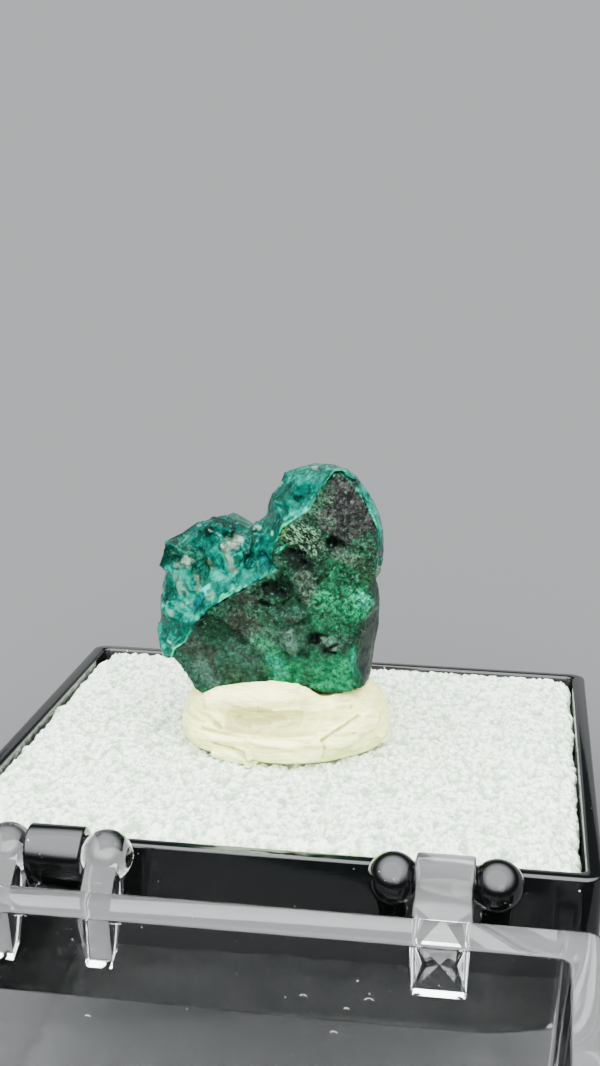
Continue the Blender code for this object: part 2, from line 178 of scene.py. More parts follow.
def smooth(piece, sharp_from=None):
    only(piece)
    if sharp_from is None:
        bpy.ops.object.shade_smooth()
    else:
        bpy.ops.object.shade_smooth_by_angle(angle=math.radians(sharp_from))


def vertices_of(piece, what="co"):
    """The places or the normals of a piece's vertices, a row for each."""
    flat = np.empty(len(piece.data.vertices) * 3, np.float32)
    piece.data.vertices.foreach_get(what, flat)
    return flat.reshape(-1, 3).astype(float)


def move_to(piece, points):
    piece.data.vertices.foreach_set("co", points.astype(np.float32).ravel())
    piece.data.update()


def bump(value, middle, width):
    """A hill of height 1 at the middle."""
    return np.exp(-(((value - middle) / width) ** 2))


def elsewhere(seed):
    """Each seed reads the noise at a place of its own."""
    return Vector((seed * 7.31, seed * 3.17, seed * 5.53))


def grain(points, scale, octaves=1, seed=0.0):
    """Smooth noise between about -1 and 1 at each point."""
    shift = elsewhere(seed)
    if octaves == 1:
        return np.array([noise.noise(Vector(p) * scale + shift) for p in points])
    return np.array([noise.fractal(Vector(p) * scale + shift, 0.9, 2.1, octaves) for p in points])


def beads(points, scale, seed=0.0):
    """Distance from each point to the middle of the nearest bead."""
    shift = elsewhere(seed)
    return np.array([noise.voronoi(Vector(p) * scale + shift)[0][0] for p in points])


def chips(points, size, seed=0.0):
    """Flat tilted chips all over: how far each point is lifted, and a number for its chip's shade."""
    shift = elsewhere(seed)
    lift, shade = np.empty(len(points)), np.empty(len(points))
    for i, point in enumerate(points):
        spot = Vector(point) / size + shift
        middle = noise.voronoi(spot)[1][0]
        lift[i] = noise.noise_vector(middle * 9.7).dot(spot - middle)
        shade[i] = noise.noise(middle * 6.3)
    return lift, shade


def light_of(shade):
    """The amount of light of a screen shade from 0 to 255."""
    share = shade / 255
    return share / 12.92 if shade <= 10 else ((share + 0.055) / 1.055) ** 2.4


def paint(red, green, blue, clearness=1.0):
    """A colour given as it looks on a screen, from 0 to 255."""
    return (light_of(red), light_of(green), light_of(blue), clearness)


def mineral(red, green, blue, clearness=0.0):
    """A mineral's colour as it should look in the picture: laid on darker and purer than that."""
    linear = np.array(paint(red, green, blue)[:3])
    grey = linear.mean()
    pure = np.clip(grey + (linear - grey) * PURER, 0, 1) * DARKER
    return (*pure, clearness)


def fade(value, low, high):
    """0 below low, 1 above high and smooth between them, or the other way round if low > high."""
    share = np.clip((value - low) / (high - low), 0, 1)
    return share * share * (3 - 2 * share)


def primed(points, colour):
    """One colour all over, ready for the brush."""
    return np.tile(colour, (len(points), 1))


def blend(colours, share, colour):
    """Lay a colour (with its clearness as the fourth number) over the colours so far."""
    return colours + (np.array(colour) - colours) * share[:, None]


def lay_strokes(points, colours, paints, strokes, ragged, reach):
    """Brush strokes, laid on from the front as far back as the reach, with ragged edges.

    Each stroke has a paint, two ends (x, z), a radius, a share and a lift.
    """
    lift = np.zeros(len(points))
    front = fade(points[:, 1], reach + 0.6, reach)
    across, height = points[:, 0], points[:, 2]
    for name, (x1, z1), (x2, z2), radius, share, raised in strokes:
        long_x, long_z = x2 - x1, z2 - z1
        length = max(long_x * long_x + long_z * long_z, 1e-6)
        along = np.clip(((across - x1) * long_x + (height - z1) * long_z) / length, 0, 1)
        gap = np.hypot(across - x1 - along * long_x, height - z1 - along * long_z)
        gap += ragged * (0.6 * min(radius, 0.4) + 0.05)
        inside = fade(gap, radius * 1.25 + 0.03, radius * 0.75 - 0.03) * front
        colours = blend(colours, inside * share, paints[name])
        lift += inside * raised
    return colours, lift


def keep_colours(piece, colours):
    """Store the brushed colours and clearness on the mesh."""
    layer = piece.data.color_attributes.new("tint", "FLOAT_COLOR", "POINT")
    layer.data.foreach_set("color", np.clip(colours, 0, 1).astype(np.float32).ravel())


def crystal(name, middle, size, turn):
    """A blocky crystal: a cube drawn in at its ends and eased along its edges."""
    waist, ease = 0.85, 0.16
    made = add(bpy.ops.mesh.primitive_cube_add, size=1.0)
    made.name = name
    pick(made, "FACE", lambda centre, normal: abs(normal.z) > 0.5)
    bpy.ops.transform.resize(value=(waist, waist * 0.95, 1))
    done(made)
    made.scale = size
    bpy.ops.object.transform_apply(scale=True)
    apply(made, "BEVEL", width=min(size) * ease, segments=2, limit_method="ANGLE")
    made.rotation_euler = [math.radians(a) for a in turn]
    made.location = middle
    bpy.ops.object.transform_apply(location=True, rotation=True)
    return made


def remesh(piece, voxel):
    """An even fine mesh, which also grows joined shapes together."""
    apply(piece, "REMESH", mode="VOXEL", voxel_size=voxel, use_smooth_shade=True)


# Shader maths

class Wire:
    """An output socket whose sums, products and steps add their Math nodes."""

    def __init__(self, finish, socket):
        self.finish = finish
        self.socket = socket

    def math(self, operation, *others):
        return self.finish.node("Math", {"operation": operation}, dict(enumerate((self, *others))))

    def __add__(self, other):
        return self.math("ADD", other)

    __radd__ = __add__

    def __mul__(self, other):
        return self.math("MULTIPLY", other)

    __rmul__ = __mul__

    def __sub__(self, other):
        return self.math("SUBTRACT", other)

    def __rsub__(self, other):
        return self.finish.node("Math", {"operation": "SUBTRACT"}, {0: other, 1: self})

    def at_least(self, other):
        return self.math("MAXIMUM", other)

    def step(self, low, high):
        """0 below low, 1 above high and smooth between them, or the other way round if low > high."""
        sockets = {"Value": self, "From Min": low, "From Max": high}
        if low > high:
            sockets = {"Value": self, "From Min": high, "From Max": low, "To Min": 1.0, "To Max": 0.0}
        return self.finish.node("MapRange", {"interpolation_type": "SMOOTHSTEP"}, sockets)

    def __getitem__(self, axis):
        return self.finish.node("SeparateXYZ", {}, {0: self}, axis)


class Finish:
    """One material and the nodes it is made of."""

    def __init__(self, name):
        self.material = bpy.data.materials.new(name)
        self.material.use_nodes = True
        self.tree = self.material.node_tree
        self.tree.nodes.clear()

    def node(self, kind, settings, sockets, output=0):
        made = self.tree.nodes.new("ShaderNode" + kind)
        for name, value in settings.items():
            setattr(made, name, value)
        for key, value in sockets.items():
            if isinstance(value, Wire):
                self.tree.links.new(value.socket, made.inputs[key])
            else:
                made.inputs[key].default_value = value
        return Wire(self, made.outputs[output])

    def spots(self, matrix):
        """Object coordinates turned back into the millimetres of a piece's own frame."""
        back = matrix.inverted()
        settings = {"vector_type": "POINT"}
        sockets = {
            "Vector": self.node("TexCoord", {}, {}, "Object"),
            "Location": back.to_translation(),
            "Rotation": back.to_euler(),
            "Scale": back.to_scale(),
        }
        return self.node("Mapping", settings, sockets)

    def mix(self, share, first, second):
        return self.node("Mix", {"data_type": "RGBA"}, {0: share, 6: first, 7: second}, 2)

    def shade(self, color, amount):
        return self.node("VectorMath", {"operation": "SCALE"}, {"Vector": color, "Scale": amount})

    def noise(self, spots, scale, detail=2.0, rough=0.5, warp=0.0):
        sockets = {"Vector": spots, "Scale": scale, "Detail": detail, "Roughness": rough, "Distortion": warp}
        return self.node("TexNoise", {}, sockets, "Fac")

    def cells(self, spots, scale):
        """Distance to the middle of the nearest cell."""
        return self.node("TexVoronoi", {}, {"Vector": spots, "Scale": scale}, "Distance")

    def distance(self, spots, middle):
        return self.node("VectorMath", {"operation": "DISTANCE"}, {0: spots, 1: middle}, "Value")

    def brushed(self, output="Color"):
        """What was brushed on the mesh: its colour, or its clearness as the Alpha output."""
        return self.node("Attribute", {"attribute_name": "tint"}, {}, output)

    def stretched(self, spots, scale, turn=(0.0, 0.0, 0.0)):
        """The same coordinates turned and stretched, for patterns that run one way."""
        turned = self.node("Mapping", {"vector_type": "POINT"}, {"Vector": spots, "Rotation": turn})
        return self.node("Mapping", {"vector_type": "POINT"}, {"Vector": turned, "Scale": scale})

    def relief(self, height, strength, distance):
        return self.node("Bump", {}, {"Height": height, "Strength": strength, "Distance": distance})

    def principled(self, sockets):
        return self.node("BsdfPrincipled", {}, sockets)

    def output(self, shader):
        end = self.tree.nodes.new("ShaderNodeOutputMaterial")
        self.tree.links.new(shader.socket, end.inputs["Surface"])
        return self.material


def dress(piece, matrix, material, sharp_from=None):
    """Place a shaped piece, shade it smooth and give it its material."""
    place(piece, matrix)
    smooth(piece, sharp_from)
    piece.data.materials.clear()
    piece.data.materials.append(material)


# Finishes

def black_plastic():
    """Gloss black, with dust in patches and a dull pale grey-green band painted on the middle of the front
    rim.
    """
    f = Finish("gloss_black_plastic")
    spots = f.spots(TRAY_PLACE)
    dust = f.cells(spots, 1.3).step(0.07, 0.035) * f.noise(spots, 0.35, 2.0).step(0.52, 0.60)
    fine_dust = f.cells(spots, 3.1).step(0.09, 0.04) * f.noise(spots, 0.5, 2.0).step(0.54, 0.62)
    specks = dust.at_least(fine_dust * 0.6)
    rim_top = spots[2].step(TRAY_RIM - 0.03, TRAY_RIM) * spots[2].step(TRAY_RIM + 0.05, TRAY_RIM + 0.02)
    front_rim = rim_top * spots[1].step(AXIS_OUT + 1.6, AXIS_OUT + 1.2)
    # A pale grey-green band painted on the top of the middle of the front rim
    pale_rim_band = front_rim * spots[0].step(-3.5, -1.0) * spots[0].step(4.0, 1.0)
    pale_rim_band = pale_rim_band * f.noise(f.stretched(spots, (0.5, 3.0, 1.0)), 1.6, 3.0).step(0.35, 0.60)
    color = f.mix(specks, paint(4, 5, 5), paint(190, 192, 188))
    color = f.mix(pale_rim_band * 0.45, color, paint(120, 130, 112))
    haze = f.noise(spots, 0.9, 3.0).step(0.35, 0.75) * 0.04
    scuffs = f.noise(f.stretched(spots, (0.3, 6.0, 6.0), (0.0, 0.0, 0.2)), 1.0, 4.0)
    shader = f.principled({
        "Base Color": color,
        "Roughness": haze + specks * 0.5 + pale_rim_band * 0.4 + 0.07,
        "IOR": 1.53,
        "Normal": f.relief(scuffs, 0.03, 0.0001),
    })
    return f.output(shader)


# Bowed fibres of lint on the inside of the lid's hinge wall: x, z, radius
LINT_WALL, LINT_EDGE, LINT_CORE = -AXIS_OUT - LID_WALL, 0.03, 0.01
LINT = (
    (2.9, -3.6, 0.16),
    (5.8, -3.5, 0.20),
    (4.8, -4.2, 0.14),
    (4.2, -5.9, 0.20),
    (-7.1, -6.3, 0.18),
)


def clear_plastic():
    """Clear and nearly smooth, with a few specks of dust and the lint."""
    f = Finish("clear_plastic")
    spots = f.spots(LID_PLACE)
    specks = f.cells(spots, 0.93).step(0.05, 0.025) * f.noise(spots, 0.7, 2.0).step(0.53, 0.60)
    for x, z, radius in LINT:
        gap = f.distance(spots, (x, LINT_WALL, z))
        ring = gap.step(radius - LINT_EDGE, radius - LINT_CORE)
        ring = ring * gap.step(radius + LINT_EDGE, radius + LINT_CORE)
        upper_half = spots[2].step(z, z + 0.3 * radius)
        specks = specks.at_least(ring * upper_half * 0.6)
    plastic = f.principled({
        "Base Color": (0.965, 0.975, 0.975, 1.0),
        "Roughness": 0.015,
        "IOR": 1.53,
        "Transmission Weight": 1.0,
    })
    dust = f.principled({"Base Color": paint(235, 235, 230), "Roughness": 0.8})
    shader = f.node("MixShader", {}, {0: specks, 1: plastic, 2: dust})
    return f.output(shader)


def beaded_foam():
    """Painted highlights on the white crumbs and painted shade in the grey-green gaps, over the brushed
    beads, with a shine on the highest crumbs.
    """
    f = Finish("beaded_foam")
    spots = f.spots(STONE_PLACE)
    tint = f.brushed()
    soft = f.noise(spots, 0.45, 3.0)
    crumbs = f.noise(f.stretched(spots, (1.0, 0.45, 1.0)), 3.8, 3.0, 0.7)
    color = f.mix(soft.step(0.35, 0.65) * 0.15, tint, paint(196, 222, 192))
    # Painted shade in the gaps between the crumbs, and painted highlights on the highest crumbs
    color = f.mix(crumbs.step(0.52, 0.38) * 0.7, color, paint(138, 160, 136))
    color = f.mix(crumbs.step(0.57, 0.66), color, (0.98, 1.0, 0.97, 1.0))
    shader = f.principled({
        "Base Color": color,
        "Roughness": crumbs.step(0.62, 0.56) * 0.45 + 0.12,
        "IOR": 1.5,
        "Specular IOR Level": 0.8,
        "Subsurface Weight": 0.15,
        "Subsurface Radius": (0.6, 0.6, 0.6),
        "Subsurface Scale": 0.0005,
        "Normal": f.relief(crumbs, 1.0, 0.00022),
    })
    return f.output(shader)


def ivory_putty():
    """Waxy ivory with drawn streaks, painted shade along their low lines, and small pale smears."""
    f = Finish("ivory_putty")
    spots = f.spots(STONE_PLACE)
    streaks = f.noise(f.stretched(spots, (0.5, 0.9, 5.0), (0.0, 0.12, 0.0)), 2.2, 4.0, 0.55, 0.4)
    # Painted shade where the streaks' relief is low
    color = f.mix(streaks.step(0.52, 0.34) * 0.45, f.brushed(), paint(184, 180, 110))
    smears = f.noise(spots, 3.5, 3.0, 0.6).step(0.6, 0.72)
    color = f.mix(smears * 0.35, color, paint(250, 250, 205))
    shader = f.principled({
        "Base Color": color,
        "Roughness": 0.38,
        "Subsurface Weight": 0.10,
        "Subsurface Radius": (1.0, 0.95, 0.7),
        "Subsurface Scale": 0.0007,
        "Normal": f.relief(streaks, 0.5, 0.00012),
    })
    return f.output(shader)


def green_grey_rock():
    """Grains and pits, the pits filled with painted shade, crisper towards the top, and needles where they
    were brushed.
    """
    f = Finish("green_grey_rock")
    spots = f.spots(STONE_PLACE)
    tint, needled = f.brushed(), f.brushed("Alpha")
    fine = f.noise(spots, 5.2, 4.0, 0.75, 0.4)
    pits = f.noise(spots, 3.4, 3.0, 0.7, 1.2)
    crisp = spots[2].step(5.0, 9.0)
    color = f.shade(tint, fine.step(0.38, 0.64) * (crisp * 0.85 + 0.95) + 0.50 - crisp * 0.35)
    # Painted shade in the pits
    color = f.mix(pits.step(0.45, 0.37) * (crisp * 0.55 + 0.25), color, mineral(4, 20, 14))
    grains = f.noise(spots, 7.0, 2.0, 0.6).step(0.58, 0.68) * fine.step(0.42, 0.6)
    color = f.mix(grains * (crisp * 0.45 + 0.18), color, mineral(165, 222, 190))
    needles = f.noise(f.stretched(spots, (2.2, 4.0, 7.0), (0.0, DOWNHILL, 0.0)), 1.0, 2.0, 0.6, 1.4)
    color = f.mix(needled * needles.step(0.51, 0.45) * 0.95, color, mineral(8, 30, 20))
    color = f.mix(needled * needles.step(0.52, 0.58), color, mineral(190, 232, 196))
    shader = f.principled({
        "Base Color": color,
        "Roughness": fine.step(0.3, 0.7) * 0.35 + 0.25,
        "IOR": 1.45,
        "Specular IOR Level": 0.14,
        "Normal": f.relief(fine + pits * 0.8 + needles * needled, 1.0, 0.00016),
    })
    return f.output(shader)


def teal_dioptase():
    """Teal, partly see-through where it was brushed clear, with streaks uphill, painted highlights along
    some of them and painted glints in small flecks.
    """
    f = Finish("teal_dioptase")
    spots = f.spots(STONE_PLACE)
    tint, clear = f.brushed(), f.brushed("Alpha")
    cloud = f.noise(spots, 1.5, 3.0, 0.6, 0.8)
    streak = f.noise(f.stretched(spots, (0.8, 2.6, 4.0), (0.0, UPHILL, 0.0)), 1.0, 4.0, 0.65, 0.7)
    color = f.shade(tint, cloud.step(0.34, 0.66) * 1.25 + 0.38)
    color = f.mix(clear * streak.step(0.47, 0.35), color, mineral(0, 66, 50))
    # Painted highlights along the streaks
    color = f.mix(streak.step(0.58, 0.66) * 0.6, color, mineral(0, 206, 182))
    flecks = f.noise(spots, 6.0, 2.0, 0.6, 0.8)
    # Painted glints in small flecks
    color = f.mix(flecks.step(0.66, 0.72) * 0.5, color, mineral(120, 222, 200))
    body = {
        "Base Color": color,
        "Roughness": cloud.step(0.3, 0.8) * 0.14 + 0.06,
        "IOR": 1.5,
        "Specular IOR Level": 0.27,
        "Specular Tint": (0.02, 1.0, 0.80, 1.0),
        "Normal": f.relief(streak * 1.2 + cloud + flecks * 0.5, 0.6, 0.00016),
    }
    solid = f.principled({
        **body,
        "Subsurface Weight": 0.15,
        "Subsurface Radius": (0.2, 1.0, 0.9),
        "Subsurface Scale": 0.0005,
    })
    glassy = f.principled({**body, "Transmission Weight": 1.0})
    shader = f.node("MixShader", {}, {0: clear * 0.30, 1: solid, 2: glassy})
    return f.output(shader)


# The box

def block(name, middle_y, top, bottom, half, draft, corner, foot):
    """A cube made into a tapered block with rounded uprights and a rounded foot."""
    made = add(bpy.ops.mesh.primitive_cube_add, size=1.0, location=(0, middle_y, (top + bottom) / 2))
    made.name = made.data.name = name
    made.scale = (2 * half, 2 * half, top - bottom)
    bpy.ops.object.transform_apply(location=True, rotation=True, scale=True)
    pick(made, "FACE", lambda middle, normal: normal.z < -0.5)
    taper = 1 - (top - bottom) * math.tan(draft) / half
    bpy.ops.transform.resize(value=(taper, taper, 1), center_override=(0, middle_y, bottom))
    pick(made, "EDGE", lambda a, b: abs(a.z - b.z) > (top - bottom) / 2)
    bpy.ops.mesh.bevel(offset=corner, segments=8, affect="EDGES")
    pick(made, "EDGE", lambda a, b: max(a.z, b.z) < bottom + 0.01)
    bpy.ops.mesh.bevel(offset=foot, segments=4, affect="EDGES")
    return done(made)


def moulded_box(name, middle_y, rim, depth, wall, plate):
    """A square moulded box, open at the top: a block hollowed by a smaller one, its rim eased."""
    above = 1.0
    bottom = rim - depth
    box = block(name, middle_y, rim, bottom, HALF, OUTER_DRAFT, OUTER_CORNER, FOOT_ROUND)
    wide = HALF - wall + above * math.tan(INNER_DRAFT)
    inner = (wide, INNER_DRAFT, INNER_CORNER, INNER_FOOT_ROUND)
    hollow = block("hollow", middle_y, rim + above, bottom + plate, *inner)
    cut_or_join(box, hollow, "DIFFERENCE")

    def outer(point):
        return max(abs(point.x), abs(point.y - middle_y)) > HALF - wall / 2

    pick(box, "EDGE", lambda a, b: min(a.z, b.z) > rim - 0.01 and outer(a) == outer(b))
    bpy.ops.mesh.bevel(offset=RIM_ROUND, segments=3, affect="EDGES")
    return done(box)


def bar(name, outline, middle_x, widths, sign, ease):
    """A rib or a knuckle: a plane cut to its side view, drawn out sideways, narrowed and eased."""
    rib = add(bpy.ops.mesh.primitive_circle_add, vertices=len(outline), radius=1.0, fill_type="NGON")
    rib.name = name
    for vert, (y, z) in zip(rib.data.vertices, outline):
        vert.co = (middle_x, sign * y, z)
    pick(rib, "FACE", lambda middle, normal: True)
    bpy.ops.mesh.extrude_region_move(TRANSFORM_OT_translate={"value": (1.0, 0, 0)})
    done(rib)
    top_width, end_width = widths
    top = max(z for _, z in outline)
    end = min(z for _, z in outline)
    for vert in rib.data.vertices:
        width = end_width + (top_width - end_width) * (vert.co.z - end) / (top - end)
        side = 1 if vert.co.x > middle_x + 0.5 else -1
        vert.co.x = middle_x + side * width / 2
    pick(rib, "FACE", lambda middle, normal: True)
    bpy.ops.mesh.normals_make_consistent(inside=False)
    done(rib)
    apply(rib, "BEVEL", width=ease, segments=3, limit_method="ANGLE", angle_limit=math.radians(50))
    return rib


# Side views of the arms, as (y, z) from the hinge axis

def wall_foot(rim):
    """Where the top of a rib or a knuckle runs into the wall."""
    return AXIS_OUT + INTO_WALL, min(rim, 0.0) - UNDER_RIM


def rib_outline(rim):
    inside, low = wall_foot(rim)
    return (0.15, 0.75), (inside, low), (inside, RIB_END), (AXIS_OUT - 0.7, RIB_END), (-0.25, -0.80)


def knuckle_outline(rim):
    """A curved front from the wall to the round top, an arc over the sockets, and facets under it."""
    front_points, arc_points, arc_sweep = 9, 25, 147
    inside, low = wall_foot(rim)
    start = math.radians(40)
    top = Vector((KNUCKLE_RADIUS * math.cos(start), KNUCKLE_RADIUS * math.sin(start)))
    bend = top + Vector((math.sin(start), -math.cos(start))) * (top.y - low - 0.05) / math.cos(start)
    foot = Vector((inside, low))
    outline = []
    for i in range(front_points):
        share = i / front_points
        outline.append(tuple(foot.lerp(bend, share).lerp(bend.lerp(top, share), share)))
    for i in range(arc_points):
        turn = start + math.radians(i * arc_sweep / (arc_points - 1))
        outline.append((KNUCKLE_RADIUS * math.cos(turn), KNUCKLE_RADIUS * math.sin(turn)))
    facets = (-1.16, -0.45), (-0.72, -1.30), (-0.05, FACET_TOP), (AXIS_OUT - 0.6, RIB_END)
    return (*outline, *facets, (inside, RIB_END))


def ball(x, radius):
    """A ball with its poles on the hinge axis."""
    turned = (0, math.pi / 2, 0)
    sphere = bpy.ops.mesh.primitive_uv_sphere_add
    made = add(sphere, segments=56, ring_count=28, radius=radius, location=(x, 0, 0), rotation=turned)
    bpy.ops.object.transform_apply(location=True, rotation=True, scale=True)
    return made


def add_hinges(box, sign, ball_x, rim):
    """Two balls on ribs at one hinge and a knuckle with two sockets at the other."""
    for side in (-1, 1):
        x = ball_x + side * BALL_SPACING / 2
        cut_or_join(box, bar("rib", rib_outline(rim), x, RIB_WIDTHS, sign, RIB_EASE), "UNION")
        cut_or_join(box, ball(x, BALL_RADIUS), "UNION")
    knuckle = bar("knuckle", knuckle_outline(rim), -ball_x, KNUCKLE_WIDTHS, sign, KNUCKLE_EASE)

    # The sloping face at its end is poked in, for the facets of the moulding
    pick(knuckle, "FACE", lambda middle, normal: middle.z < FACET_TOP - 0.5 and sign * normal.y < -0.3)
    bpy.ops.mesh.poke(offset=-FACET_DEPTH)
    cut_or_join(box, done(knuckle), "UNION")
    for side in (-1, 1):
        socket = ball(-ball_x + side * BALL_SPACING / 2, BALL_RADIUS + SOCKET_CLEARANCE)
        cut_or_join(box, socket, "DIFFERENCE")


def make_tray():
    tray = moulded_box("tray", TRAY_MIDDLE, TRAY_RIM, TRAY_HEIGHT, TRAY_WALL, TRAY_FLOOR)
    add_hinges(tray, 1, HINGE_X, TRAY_RIM)
    dress(tray, TRAY_PLACE, black_plastic(), SHARP_FROM)
    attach(tray, "base")
    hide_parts("tray_base")


def make_lid():
    lid = moulded_box("lid", -TRAY_MIDDLE, LID_RIM, LID_HEIGHT, LID_WALL, LID_PLATE)
    add_hinges(lid, -1, -HINGE_X, LID_RIM)
    dress(lid, LID_PLACE, clear_plastic(), SHARP_FROM)
    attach(lid, "lid")
    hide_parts("clear_lid")


# Foam, putty and stone

FOAM_HALF, FOAM_STEPS, BEAD_GAP = 15.0, 300, 0.15

# Each corner's side in x and y, and its radius
FOAM_CORNERS = ((-1, 1, 2.4), (1, 1, 1.5), (-1, -1, 0.6), (1, -1, 0.25))


def make_foam():
    """A fine grid shaped into a pad: rounded far corners, a soft uneven edge and beads all over."""
    steps = {"x_subdivisions": FOAM_STEPS, "y_subdivisions": FOAM_STEPS}
    foam = add(bpy.ops.mesh.primitive_grid_add, size=2 * FOAM_HALF, **steps)
    foam.name = foam.data.name = "foam"
    points = vertices_of(foam)
    x, y = points[:, 0].copy(), points[:, 1].copy()
    for side_x, side_y, radius in FOAM_CORNERS:
        straight = FOAM_HALF - radius
        u, v = side_x * x - straight, side_y * y - straight
        in_corner = (u > 0) & (v > 0)
        share = np.where(in_corner, np.maximum(u, v) / np.maximum(np.hypot(u, v), 1e-9), 1.0)
        x = np.where(in_corner, side_x * (straight + u * share), x)
        y = np.where(in_corner, side_y * (straight + v * share), y)
    edge = FOAM_HALF - np.maximum(np.abs(x), np.abs(y))
    flat = np.column_stack([x, y, np.zeros(len(x))])
    large = beads(flat, 2.4)
    small = beads(flat, 4.6, seed=2.0)
    lumps = grain(flat, 0.22, seed=1.0)
    fine = grain(flat, 6.0, seed=4.0)
    grains = 0.20 * (1 - (large / 0.75) ** 2) + 0.10 * (1 - (small / 0.7) ** 2) + 0.04 * fine

    # The edge rolls down, and the strip along it leaves room for the rim of the closed lid
    drop = -0.42 * np.exp(-edge / 0.26) - 0.27 * fade(edge, 1.25, 0.85)
    near_edge = FOAM_HALF - 2
    inward = np.exp(-edge / 0.7)
    wave = 0.16 * grain(flat, 0.5, 3, seed=3.0) + 0.10 * grain(flat, 1.7, 2, seed=5.0) + 0.08
    tuft = 0.45 * bump(y, 3.4, 0.35) * bump(x, -FOAM_HALF, 0.8)
    points[:, 0] = x - np.sign(x) * inward * wave * (np.abs(x) > near_edge) - tuft
    points[:, 1] = y - np.sign(y) * inward * wave * (np.abs(y) > near_edge)
    points[:, 2] = grains + 0.05 * lumps + drop - BEAD_GAP
    move_to(foam, points)
    # Painted shade in the gaps between the beads and painted highlights on their tops
    colours = primed(points, paint(234, 247, 224))
    colours = blend(colours, fade(grains, 0.18, 0.04), paint(160, 182, 156))
    colours = blend(colours, fade(grains, 0.20, 0.27), paint(252, 255, 250))
    keep_colours(foam, colours)

    # The sides: down from the open edge in two steps, drawn in a little, and closed below
    only(foam)
    bpy.ops.object.mode_set(mode="EDIT")
    bpy.ops.mesh.select_all(action="DESELECT")
    bpy.ops.mesh.select_mode(type="EDGE")
    bpy.ops.mesh.select_non_manifold()
    for down, width in ((0.5, 0.997), (5.6, 0.991)):
        bpy.ops.mesh.extrude_edges_move(TRANSFORM_OT_translate={"value": (0, 0, -down)})
        bpy.ops.transform.resize(value=(width, width, 1), center_override=(0, 0, 0))
    bpy.ops.mesh.edge_face_add()
    bpy.ops.mesh.select_all(action="SELECT")
    bpy.ops.mesh.normals_make_consistent(inside=False)
    done(foam)
    dress(foam, STONE_PLACE, beaded_foam())
    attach(foam, "base")
    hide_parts("foam_pad")


# Painted light on the putty: bright is painted highlight on the lip, flakes and ridges; hollow and groove
# are painted shade in the thumbed hollow and the creases
PUTTY_PAINTS = {
    "bright": paint(255, 255, 184),
    "hollow": paint(124, 120, 66),
    "groove": paint(110, 104, 58),
    "dot": paint(90, 84, 62),
}

# Seen from the front: paint, two ends (x, z), radius, share, lift
PUTTY_STROKES = (
    ("hollow", (-3.7, 2.2), (0.9, 2.6), 1.00, 0.20, -0.16),
    ("hollow", (-3.6, 2.2), (0.6, 2.55), 0.74, 0.25, -0.18),
    ("hollow", (-3.4, 2.1), (0.0, 2.45), 0.50, 0.35, -0.18),
    ("hollow", (-3.1, 2.1), (-0.6, 2.35), 0.28, 0.40, -0.12),
    ("hollow", (-3.9, 1.75), (1.2, 1.8), 0.10, 0.5, -0.05),
    ("hollow", (-2.6, 2.6), (0.7, 2.95), 0.06, 0.6, -0.05),
    ("bright", (-3.0, 2.30), (-1.7, 2.45), 0.04, 0.4, 0.03),
    ("bright", (-2.4, 1.95), (-0.9, 2.10), 0.04, 0.4, 0.03),
    ("bright", (-4.7, 2.9), (-0.4, 3.7), 0.44, 0.4, 0.10),
    ("bright", (-1.1, 2.8), (0.3, 3.0), 0.16, 0.4, 0.10),
    ("bright", (-1.2, 2.1), (-0.2, 2.3), 0.14, 0.4, 0.10),
    ("bright", (-4.5, 2.2), (-4.0, 1.9), 0.22, 0.5, 0.12),
    ("bright", (-1.9, 0.9), (1.2, 0.9), 0.49, 0.4, 0.25),
    ("bright", (-5.1, 1.1), (-2.2, 1.3), 0.20, 0.6, 0.25),
    ("bright", (-2.2, 1.3), (1.4, 1.3), 0.20, 0.6, 0.22),
    ("bright", (2.4, 1.4), (3.6, 1.9), 0.60, 0.6, 0.32),
    ("bright", (-4.1, 0.45), (-2.2, 0.40), 0.22, 0.8, 0.34),
    ("bright", (-2.2, 0.35), (-1.9, 0.20), 0.12, 0.8, 0.24),
    ("bright", (4.5, 0.5), (4.4, 0.9), 0.12, 0.7, 0.24),
    ("groove", (-4.3, 0.85), (-3.2, 0.80), 0.07, 0.7, -0.20),
    ("groove", (-3.2, 0.80), (-1.5, 0.35), 0.07, 0.7, -0.18),
    ("groove", (1.5, 1.4), (3.2, 2.3), 0.08, 0.8, -0.24),
    ("groove", (1.5, 1.4), (1.7, 1.0), 0.06, 0.8, -0.18),
    ("groove", (1.7, 1.0), (1.5, 0.4), 0.06, 0.6, -0.15),
    ("groove", (-4.4, 1.8), (-4.1, 1.7), 0.11, 0.6, -0.18),
    ("groove", (-5.1, 1.4), (-3.6, 1.5), 0.07, 0.6, -0.15),
    ("dot", (-2.0, 3.0), (-2.0, 3.0), 0.05, 0.9, -0.05),
    ("dot", (2.9, 2.8), (2.9, 2.8), 0.05, 0.9, -0.05),
    ("dot", (2.9, 1.5), (3.0, 1.5), 0.05, 0.8, -0.05),
)


